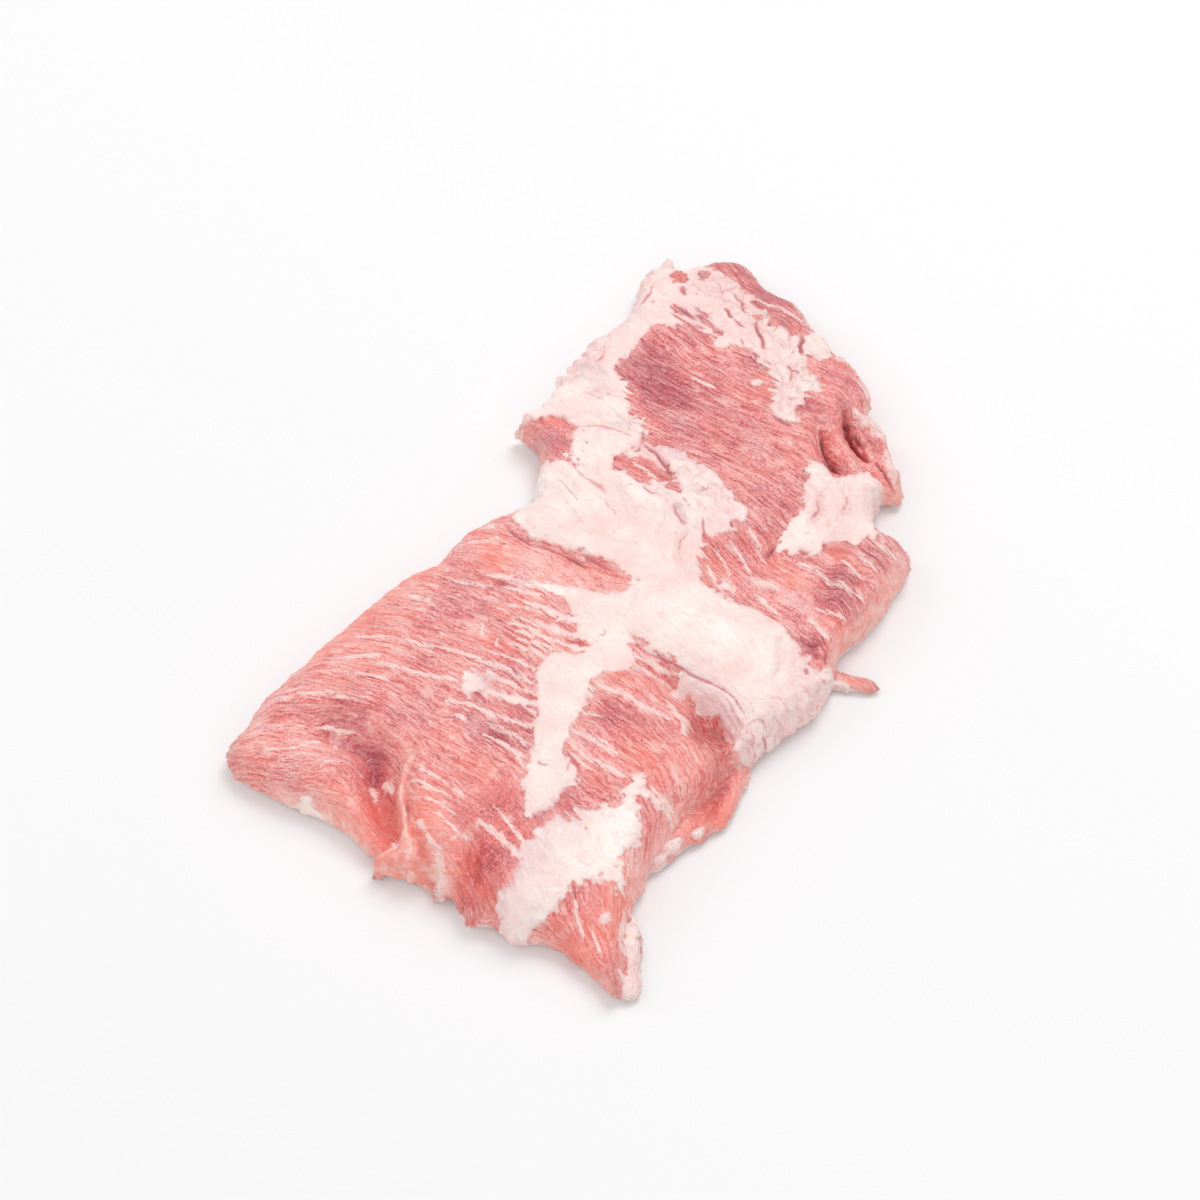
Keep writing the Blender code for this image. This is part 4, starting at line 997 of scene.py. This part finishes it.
TUFTS = [                   # x, y, radius, and how far it is pulled out along x, y and z
    (-34, 153, 4.6, 0.3, 1.2, 2.6), (-31, 157, 2.2, 0.8, 1.2, 0.8),
    (-22.5, -110.5, 1.9, -2.4, -2.6, 0.8), (-18.5, -110.5, 1.5, 0, -1.4, 0.6),
    (-14.5, -110.5, 1.8, 0.3, -1.6, 0.8), (-5, -112.5, 2.2, -0.8, -2.6, 0.6),
    (-46.5, 62, 2.4, -2.6, -0.4, 0.8), (-47, 72, 1.5, -1.6, 0, 0.5),
    (64, 68.6, 2.0, 2.0, -0.5, 0.8), (-39, 144, 4.5, -2.6, 0.6, 0.6),
]

FLESH_CRUMBS = [            # where lean is torn to crumbs: x, y, two radii, turn and strength
    (54.6, 89.4, 7, 3, -50, 1.0), (62, 82, 7, 3, -45, 0.5), (5, -107, 8, 11, -10, 0.9),
    (1, -89, 8, 9, 0, 0.5), (-33, -92, 9, 3, -58, 0.35), (47, 76.6, 3, 2, -45, 0.8),
    (66, -2, 5, 3, -20, 0.8), (56, -60, 3, 12, 0, 0.5), (-16, -110, 8, 3, 0, 0.7),
    (-5, -112, 4, 3, 0, 0.5), (50, -41, 5, 4, -50, 0.4),
]

PLAIN_PLACES = [            # where the lean shows grains: x, y, two radii, turn and strength
    (-38, 55, 10, 8, 0, 1.0), (-33, -92, 15, 5, -58, 1.0), (-18, -109, 12, 4, -8, 1.0),
    (-13, -100, 9, 8, -20, 0.6), (1, -88, 8, 9, -30, 0.9), (6, -108, 9, 13, -10, 1.0),
    (6, -94, 9, 6, -40, 0.7), (42, -113, 13, 9, -50, 0.5), (57, -62, 5, 16, 0, 0.9),
    (-3, 50.5, 10, 4, -20, 1.0), (-16, 92, 14, 8, -35, 0.4), (55, 88, 9, 4, -50, 1.0),
    (47.5, 85, 9, 4, -58, 0.5), (66, 77, 9, 6, -40, 1.0), (46, -40, 7, 7, 0, 0.6),
    (60, 13, 10, 8, 0, 0.5), (-24, 142, 4, 5, 0, 1.0), (-26, 153, 5, 5, 0, 1.0),
    (4, 149, 14, 6, -32, 0.7), (44, 106, 9, 14, 0, 0.35), (-45, -88, 14, 6, 20, 0.5),
    (-40, -74, 12, 8, -20, 0.5), (15, -84, 6, 8, 0, 0.5),
]

LUMPY_RIMS = [              # where the rim is lumpy: x, y, two radii, turn and strength
    (-45, 108, 6, 26, 12, 1.0), (-48, 88, 6, 14, 0, 1.0), (-38, 142, 7, 18, 0, 0.8),
    (-47, 66, 5, 8, 0, 0.6), (71, -16, 8, 18, 0, 0.6), (40, 120, 10, 6, -50, 0.5),
    (60, 92, 5, 14, 40, 0.5),
]

SKIN_STRIPS = [             # strips of smooth skin: half the width, then the path
    (1.5, [(-27, -81), (-26.6, -86), (-25.8, -91), (-24, -95.5), (-21.4, -100), (-19, -104),
           (-18, -109)]),
    (1.3, [(-18, -106), (-21, -109), (-24, -113)]),
    (1.8, [(-17, -107), (-14, -110.4), (-11, -113)]),
    (1.6, [(-60, -99.4), (-50, -100.6), (-42, -102), (-34, -105.4), (-27, -109)]),
    (1.0, [(-11, -107), (-6, -110), (-3, -113), (0, -117)]),
]

crumbly, = patches(CRUMBLY_PLACES)
crumbly = crumbly.clip(0, 1)
flake_along = unrolled @ np.array([cos(FLAKE_TURN), sin(FLAKE_TURN)]) / FLAKE_LENGTH
flake_along += 0.55 * lumps(4.0, 31) + 0.2 * lumps(1.6, 33)
flake_across = unrolled @ np.array([-sin(FLAKE_TURN), cos(FLAKE_TURN)]) / FLAKE_WIDTH
flake_across += 0.7 * lumps(4.0, 32) + 0.3 * lumps(1.6, 34)
flakes = np.column_stack([flake_along, flake_across])
crumb_rise = crumbly * (lumps(0.9, 35, flakes) + 0.35 * lumps(0.4, 36, flakes))
flesh_crumbs, = patches(FLESH_CRUMBS)
plain, = patches(PLAIN_PLACES)
lumpy, = patches(LUMPY_RIMS)

in_fat = rising(fat_depth, EDGE_SLOPE)
in_sheet = rising(sheet_depth, LIP_SLOPE)
lip = LIP_HEIGHT * in_sheet * np.exp(-sheet_depth.clip(0, None) / LIP_WIDTH)
lip *= (0.7 + 0.8 * lumps(6, 12)).clip(0.1, None) * (1 - 0.7 * fringe)
lip -= TROUGH * (1 - in_sheet) * np.exp(sheet_depth.clip(None, 0) / TROUGH_WIDTH) * (1 - fringe)
broad_ribs, fine_ribs = strands(2.4, 22, 5), strands(1.2, 12, 6)
rib = broad_ribs + 0.6 * fine_ribs
ribs = (RIB_HEIGHT * broad_ribs + FINE_RIB_HEIGHT * fine_ribs) * (1 - 0.3 * narrow_end)
ribs += 0.18 * lumps(2.2, 13, unrolled) + 0.12 * strands(5, 1.6, 14)
fat_surface = (FAT_LUMPS + NARROW_END_LUMPS * narrow_end) * (lumps(4.5, 7) + 0.6 * lumps(2.0, 8))
fat_surface += CRUMB_RISE * crumb_rise
dimples = (2.4 * lumps(2.2, 18) - 0.9).clip(0, 1) * (0.25 + 0.75 * narrow_end)
dimples *= (1 - crumbly) * (sheet_depth > 2)
fat_surface -= DIMPLE_DEPTH * dimples
sides = 1 - outward[:, 2].clip(0, 1)
smooth_rim = smooth_rim.clip(0, 1) * ((sides - 0.3) / 0.4).clip(0, 1)
for half_width, path in SKIN_STRIPS:
    near, distance, _ = near_path(plan, path, 3 * half_width)
    width = half_width * (1 + 0.3 * torn[near]).clip(0.5, None)
    strip = np.exp(-(distance / width) ** 4)
    smooth_rim[near] = np.maximum(smooth_rim[near], strip)
plain = np.maximum(plain, smooth_rim).clip(0, 1)
flesh_surface = ribs * (1 - 0.7 * plain) + 0.12 * lumps(1.0, 37, unrolled)
flesh_surface += FLESH_CRUMB_RISE * flesh_crumbs * (lumps(1.9, 38, unrolled) + 0.3)
relief = lip + flesh_surface * (1 - in_fat) + fat_surface * in_fat
relief += KNOB_HEIGHT * knob.clip(0, 1) + STREAK_HEIGHT * streak_and_sheen - crack_depth
relief += SOFT_LUMPS * lumps(11, 9)
relief += RIM_LUMPS * lumpy * (lumps(4.8, 39, unrolled) + 0.5 * lumps(2.0, 40, unrolled))
relief += FRAY * sides * (lumps(5, 10, unrolled) + 0.7 * lumps(2.2, 11, unrolled)
                          + 0.5 * lumps(1.2, 17, unrolled))
# Painted light: the sides are lighter in tone, as if lit by fill light
tone_and_shade += SIDES_PAINTED_LIGHTER * sides * upper
relief *= upper

placed = smooth_shape.copy()
for x, y, radius, *pull in TUFTS:
    placed += np.outer(bell(np.hypot(*(plan - (x, y)).T), radius), pull)
placed[:, 2] *= 1 - (lowered / BODY_HEIGHT).clip(-MOST_RAISED, MOST_LOWERED)
placed += outward * relief[:, None]
placed[:, 2] = placed[:, 2].clip(0, None)
cut.data.vertices.foreach_set("co", (placed * MM).astype(np.float32).ravel())
cut.data.update()


# The flat map
# The upper face and the sides are laid out as seen from above, with the lowest part of the sides
# folded outwards and the underside beside them. The mesh keeps what the material reads, and its
# upper side is then made a little coarser.

SIDE_HEIGHT = 7.0           # mm, below which a side is folded outwards
MOST_FACES = 192_000
MAP_SCALE = 0.00265         # share of the map's width for each mm
MAP_MARGIN = 0.015
MAP_CORNER = np.array([-92.0, -155.0])
FACES_DOWN = -0.3           # the upward part of a normal below which a face is of the underside
UNDERSIDE_SHIFT = 0.5       # share of the map's width by which the underside is moved aside


def keep_values(mesh, name, values):
    """Store a value for each vertex, for the material to read."""
    layer = mesh.attributes.new(name, "FLOAT", "POINT")
    layer.data.foreach_set("value", values.astype(np.float32))


laid_out = smooth_shape[:, :2] + outward[:, :2] * (SIDE_HEIGHT - smooth_shape[:, 2:]).clip(0, None)
for name, values in {
        "across_fibres": across, "along_fibres": along, "fat_depth": fat_depth, "fringe": fringe,
        "crack_and_shade": crack_and_shade, "streak_and_sheen": streak_and_sheen, "rib": rib, "dimple": dimples, "marbled": marbled,
        "crumbly": crumbly, "flake_along": flake_along, "flake_across": flake_across,
        "plain": plain, "smooth_rim": smooth_rim, "tone_and_shade": tone_and_shade.clip(-1, 1),
        "blush": blush.clip(-1, 1), "fat_blush": fat_blush.clip(-1, 1), "film": film.clip(0, 1),
        "map_x": laid_out[:, 0], "map_y": laid_out[:, 1]}.items():
    keep_values(cut.data, name, values)

thin_out = cut.modifiers.new("Thin out", "DECIMATE")
thin_out.ratio = min(1, MOST_FACES / (2 * len(cut.data.vertices)))
thin_out.vertex_group = "underside"
thin_out.invert_vertex_group = True
apply_modifiers(cut)
cut.data.shade_smooth()

cut.data.uv_layers.new(name="OFBake")
corner_points = np.zeros(len(cut.data.loops), int)
cut.data.loops.foreach_get("vertex_index", corner_points)
face_normals = np.zeros(len(cut.data.polygons) * 3, np.float32)
cut.data.polygons.foreach_get("normal", face_normals)
face_sizes = np.zeros(len(cut.data.polygons), int)
cut.data.polygons.foreach_get("loop_total", face_sizes)
turned_down = np.repeat(face_normals[2::3] < FACES_DOWN, face_sizes)
map_places = []
for name in ("map_x", "map_y"):
    values = np.zeros(len(cut.data.vertices), np.float32)
    cut.data.attributes[name].data.foreach_get("value", values)
    map_places.append(values[corner_points])
    cut.data.attributes.remove(cut.data.attributes[name])
flat = (np.column_stack(map_places) - MAP_CORNER) * MAP_SCALE + MAP_MARGIN
flat[:, 0] += UNDERSIDE_SHIFT * turned_down
cut.data.uv_layers["OFBake"].data.foreach_set("uv", flat.astype(np.float32).ravel())


# The raw meat's surface
# Wet raw pork: fine pale fibres and threads of marbling in rosy lean, and waxy fat with a little
# lean showing through where it is thin. Light goes a little way into both.

DARK_LEAN = (172, 60, 74)
MIDDLE_LEAN = (234, 132, 130)
LIGHT_LEAN = (255, 206, 198)
SALMON_LEAN = (255, 126, 106)
PURPLE_LEAN = (148, 58, 90)
# The rims' skin colours are partly their own pale colour and partly painted light on the sides
LIT_RIM_SKIN = (255, 210, 198)
LIT_RIM_FLESH = (252, 160, 148)
MARBLING = (254, 220, 212)
CRUMB_SHADE = (218, 142, 148)
CRACK_AND_SHADE_PINK = (206, 112, 118)
CRACK_AND_SHADE_RED = (128, 34, 40)
WHITE_FAT = (255, 242, 236)
CREAM_FAT = (254, 227, 221)
ROSY_FAT = (251, 215, 210)
BLUSHED_FAT = (242, 200, 197)
GREY_FAT = (230, 200, 203)


def seen_colour(red, green, blue):
    """A colour as it looks on a screen, from 0 to 255, for a shader's socket."""
    return tuple((part / 255) ** 2.2 for part in (red, green, blue)) + (1,)


pork = bpy.data.materials.new("raw pork")
pork.use_nodes = True
pork_nodes, pork_links = pork.node_tree.nodes, pork.node_tree.links
pork_shader = pork_nodes["Principled BSDF"]


def feed(socket, value):
    """Set a socket, or link it where the value comes from another node."""
    if isinstance(value, bpy.types.NodeSocket):
        pork_links.new(value, socket)
    else:
        socket.default_value = value


def reckon(operation, *values, clamp=False):
    """One step of arithmetic on values."""
    step = pork_nodes.new("ShaderNodeMath")
    step.operation, step.use_clamp = operation, clamp
    for socket, value in zip(step.inputs, values):
        feed(socket, value)
    return step.outputs[0]


def stored(name):
    """A value that is kept on the mesh."""
    layer = pork_nodes.new("ShaderNodeAttribute")
    layer.attribute_name = name
    return layer.outputs["Fac"]


def pattern(places, size, detail=2.0, roughness=0.55, shift=0.0):
    """Noise from 0 to 1 whose lumps have the given sizes in the units of the places."""
    mapping = pork_nodes.new("ShaderNodeMapping")
    feed(mapping.inputs["Vector"], places)
    mapping.inputs["Scale"].default_value = [1 / part for part in size]
    mapping.inputs["Location"].default_value = (shift, shift, shift)
    texture = pork_nodes.new("ShaderNodeTexNoise")
    feed(texture.inputs["Vector"], mapping.outputs[0])
    texture.inputs["Scale"].default_value = 1
    texture.inputs["Detail"].default_value = detail
    texture.inputs["Roughness"].default_value = roughness
    return texture.outputs["Fac"]


def ease(value, low, high, start=0.0, end=1.0):
    """A smooth step from start to end while the value goes from low to high."""
    step = pork_nodes.new("ShaderNodeMapRange")
    step.interpolation_type = "SMOOTHSTEP"
    for socket, number in zip(step.inputs, (value, low, high, start, end)):
        feed(socket, number)
    return step.outputs[0]


def blend(share, first, second):
    """One colour turning into another."""
    mixer = pork_nodes.new("ShaderNodeMix")
    mixer.data_type = "RGBA"
    feed(mixer.inputs[0], share)
    for socket, colour in zip((mixer.inputs[6], mixer.inputs[7]), (first, second)):
        feed(socket, seen_colour(*colour) if isinstance(colour, tuple) else colour)
    return mixer.outputs[2]


def weighed(*terms):
    """Sum of values times weights, with noises counted from their middle."""
    total = 0.0
    for value, weight in terms:
        total = reckon("MULTIPLY_ADD", reckon("SUBTRACT", value, 0.5), weight, total)
    return total


# Noises of several sizes, and places along the fibres that waver a little
cut_places = pork_nodes.new("ShaderNodeTexCoord").outputs["Object"]
wide_patches = pattern(cut_places, (14 * MM,) * 3, 2, 0.5)
small_patches = pattern(cut_places, (3.4 * MM,) * 3, 2, 0.55, 2.2)
grit = pattern(cut_places, (0.8 * MM,) * 3, 2, 0.6, 5.0)

wave = weighed((pattern(cut_places, (6 * MM,) * 3, 1, 0.5, 1.1), 2.4),
               (pattern(cut_places, (2.4 * MM,) * 3, 1, 0.5, 4.4), 0.8), (grit, 0.25))
wave = reckon("MULTIPLY", wave, reckon("MULTIPLY_ADD", stored("marbled"), 0.6, 0.4))
shortened = reckon("MULTIPLY_ADD", stored("marbled"), 0.3, 0.7)
fibre_places = pork_nodes.new("ShaderNodeCombineXYZ")
feed(fibre_places.inputs[0], reckon("ADD", stored("across_fibres"), wave))
feed(fibre_places.inputs[1], reckon("MULTIPLY", stored("along_fibres"), shortened))
fibre_places = fibre_places.outputs[0]

fine_fibres = pattern(fibre_places, (0.5, 4.6, 1), 2.5, 0.6)
fibres = pattern(fibre_places, (1.3, 10, 1), 2, 0.55, 17.0)
bundles = pattern(fibre_places, (3.4, 20, 1), 2, 0.5, 7.3)
crimps = pattern(fibre_places, (3, 1.1, 1), 2, 0.5, 3.1)


def fibre_lines(size, thin, shift):
    """Thin lines where a noise crosses its middle."""
    distance = reckon("ABSOLUTE", reckon("SUBTRACT", pattern(fibre_places, size, 1.5, 0.5, shift),
                                         0.5))
    return ease(distance, 0.0, thin, 1, 0)


# Pale threads of marbling between the fibres, and the streaks of fat
threads = reckon("MULTIPLY", fibre_lines((2.4, 34, 1), 0.045, 11.0), ease(small_patches, 0.38, 0.6))
thin_threads = reckon("MULTIPLY", fibre_lines((1.4, 18, 1), 0.05, 31.0),
                      ease(small_patches, 0.62, 0.4))
light_fibres = ease(pattern(fibre_places, (0.7, 12, 1), 2, 0.5, 23.0), 0.58, 0.7, 0, 0.8)
threads = reckon("MAXIMUM", reckon("MAXIMUM", threads, thin_threads), light_fibres)
fibrous = reckon("MULTIPLY_ADD", stored("plain"), -0.8, 1.0)
threads = reckon("MULTIPLY", threads, reckon("MULTIPLY_ADD", stored("marbled"), 0.1, 0.45))
threads = reckon("MULTIPLY", threads, fibrous)
dark_fibres = ease(pattern(fibre_places, (0.9, 12, 1), 2, 0.5, 41.0), 0.30, 0.44, -0.16, 0.0)
streaks = ease(reckon("ADD", stored("streak_and_sheen"), weighed((fine_fibres, 1.8), (fibres, 1.3),
                                                       (grit, 0.8))), 0.25, 0.95)

# The lean, from dark to light with the painted shade and light of its tone, then turned red or
# purple, with its skin, partly painted light on the rims, its haze, and its streaks, partly painted
# sheen
fibre_tone = reckon("ADD", dark_fibres, weighed((fine_fibres, 1.5), (fibres, 0.9), (bundles, 0.35)))
lean_tone = reckon("MULTIPLY_ADD", stored("tone_and_shade"), 0.42, 0.5)
lean_tone = reckon("ADD", lean_tone, weighed((small_patches, 0.4), (wide_patches, 0.45)))
graininess = reckon("MAXIMUM", reckon("MULTIPLY_ADD", stored("marbled"), -0.25, 1.3),
                    reckon("MULTIPLY", stored("plain"), 1.4))
lean_tone = reckon("MULTIPLY_ADD", weighed((grit, 1.0)), graininess, lean_tone)
lean_tone = reckon("MULTIPLY_ADD", fibre_tone, fibrous, lean_tone)
lean_tone = reckon("MULTIPLY_ADD", stored("rib"), 0.05, lean_tone, clamp=True)
ramp = pork_nodes.new("ShaderNodeValToRGB")
feed(ramp.inputs[0], lean_tone)
ramp.color_ramp.elements.new(0.5)
for stop, colour in zip(ramp.color_ramp.elements, (DARK_LEAN, MIDDLE_LEAN, LIGHT_LEAN)):
    stop.color = seen_colour(*colour)
lean = ramp.outputs[0]
lean = blend(reckon("MULTIPLY", stored("blush"), 0.6, clamp=True), lean, SALMON_LEAN)
lean = blend(reckon("MULTIPLY", stored("blush"), -0.5, clamp=True), lean, PURPLE_LEAN)
lit_skin = blend(ease(reckon("ADD", small_patches, weighed((fine_fibres, 0.8))), 0.35, 0.65), LIT_RIM_SKIN,
             LIT_RIM_FLESH)
lean = blend(reckon("MULTIPLY", stored("smooth_rim"), ease(small_patches, 0.3, 0.7, 0.85, 0.5)),
             lean, lit_skin)
haze = reckon("MULTIPLY", ease(stored("fat_depth"), -3.5, 0), ease(fibres, 0.35, 0.65, 0, 0.35))
lean = blend(reckon("MAXIMUM", haze, threads), lean, MARBLING)
lean = blend(reckon("MULTIPLY", streaks, 0.8), lean, CREAM_FAT)

# The fat, from rosy to white, with its blush, thin places and crumbly flakes
paleness = reckon("SUBTRACT", reckon("ADD", wide_patches, weighed((small_patches, 0.3))),
                  reckon("MULTIPLY", stored("fat_blush"), 0.25))
fat = blend(ease(paleness, 0.25, 0.5), ROSY_FAT, CREAM_FAT)
fat = blend(ease(paleness, 0.42, 0.75), fat, WHITE_FAT)
fat = blend(ease(reckon("ADD", small_patches, weighed((grit, 0.5))), 0.52, 0.75, 0, 0.45),
            fat, BLUSHED_FAT)
fat = blend(ease(reckon("ADD", fibres, weighed((fine_fibres, 0.8))), 0.5, 0.75, 0, 0.3), fat,
            BLUSHED_FAT)
fat = blend(reckon("MULTIPLY", stored("fat_blush"), 0.75, clamp=True), fat, BLUSHED_FAT)
fat = blend(ease(stored("fat_depth"), 0.0, 1.6, 0.7, 0.0), fat, BLUSHED_FAT)
fat = blend(reckon("MULTIPLY", stored("film"), ease(fibres, 0.3, 0.6, 0.35, 0.95)), fat, GREY_FAT)
fat = blend(ease(stored("dimple"), 0.1, 1.0, 0, 0.6), fat, CRUMB_SHADE)

flake_places = pork_nodes.new("ShaderNodeCombineXYZ")
feed(flake_places.inputs[0], reckon("ADD", stored("flake_along"), weighed((grit, 0.2))))
feed(flake_places.inputs[1], reckon("ADD", stored("flake_across"), weighed((grit, -0.3))))
flake_cells = pork_nodes.new("ShaderNodeTexVoronoi")
flake_cells.voronoi_dimensions, flake_cells.feature = "2D", "DISTANCE_TO_EDGE"
feed(flake_cells.inputs["Vector"], flake_places.outputs[0])
flake_cells.inputs["Scale"].default_value = 1
from_gap = flake_cells.outputs["Distance"]
open_gaps = reckon("MULTIPLY", stored("crumbly"), ease(small_patches, 0.38, 0.6, 0.15, 1.0))
flake_gap = reckon("MULTIPLY", ease(from_gap, 0.01, 0.08, 1, 0), open_gaps)
fat = blend(reckon("MULTIPLY", ease(from_gap, 0.1, 0.35, 0, 0.5), stored("crumbly")), fat,
            CREAM_FAT)
fat = blend(reckon("MULTIPLY", flake_gap, 0.8), fat, CRUMB_SHADE)
flake_dome = reckon("MULTIPLY", ease(from_gap, 0.0, 0.35), stored("crumbly"))

# Lean and fat side by side, with the cracks and their painted shade over both
edge_shift = reckon("MULTIPLY", reckon("SUBTRACT", fine_fibres, 0.5),
                    reckon("MULTIPLY_ADD", stored("fringe"), 7.0, 0.6))
edge_shift = reckon("ADD", edge_shift, weighed((grit, 1.0)))
edge_blur = reckon("MULTIPLY", stored("film"), 1.3)
fat_share = ease(reckon("ADD", stored("fat_depth"), edge_shift),
                 reckon("SUBTRACT", -0.3, edge_blur), reckon("ADD", 0.35, edge_blur))
surface = blend(fat_share, lean, fat)
# Cracks, slits and creases are painted pink to dark red: the lean in them, and painted shade
surface = blend(ease(stored("crack_and_shade"), 0.12, 0.55, 0, 0.8), surface, CRACK_AND_SHADE_PINK)
surface = blend(ease(stored("crack_and_shade"), 0.55, 1.0, 0, 0.85), surface, CRACK_AND_SHADE_RED)
feed(pork_shader.inputs["Base Color"], surface)

# Wet lean is smoother than fat, and both are finely wrinkled under a thin wet film
lean_roughness = reckon("MULTIPLY_ADD", small_patches, 0.25, 0.22)
roughness_gap = reckon("SUBTRACT", 0.48, lean_roughness)
feed(pork_shader.inputs["Roughness"],
     reckon("MULTIPLY_ADD", roughness_gap, fat_share, lean_roughness))

fibre_height = weighed((fine_fibres, 0.28), (fibres, 0.36), (bundles, 0.2), (crimps, 0.2),
                       (threads, 0.1))
lean_height = reckon("MULTIPLY_ADD", fibre_height, fibrous, weighed((grit, 0.3)))
fat_height = weighed((small_patches, 0.7), (grit, 0.22), (fibres, 0.25))
fat_height = reckon("MULTIPLY_ADD", flake_dome, 0.35, fat_height)
height_gap = reckon("SUBTRACT", fat_height, lean_height)
wrinkles = pork_nodes.new("ShaderNodeBump")
wrinkles.inputs["Strength"].default_value = 1.0
wrinkles.inputs["Distance"].default_value = MM
feed(wrinkles.inputs["Height"], reckon("MULTIPLY_ADD", height_gap, fat_share, lean_height))
feed(pork_shader.inputs["Normal"], wrinkles.outputs[0])

feed(pork_shader.inputs["Coat Normal"], wrinkles.outputs[0])
for socket_name, value in {
        "Coat Weight": 0.2, "Coat Roughness": 0.15, "IOR": 1.42, "Specular IOR Level": 0.5,
        "Subsurface Weight": 0.25, "Subsurface Radius": (1.0, 0.35, 0.25),
        "Subsurface Scale": 0.9 * MM}.items():
    pork_shader.inputs[socket_name].default_value = value
cut.data.materials.append(pork)

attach(cut, "root")
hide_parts("secreto")
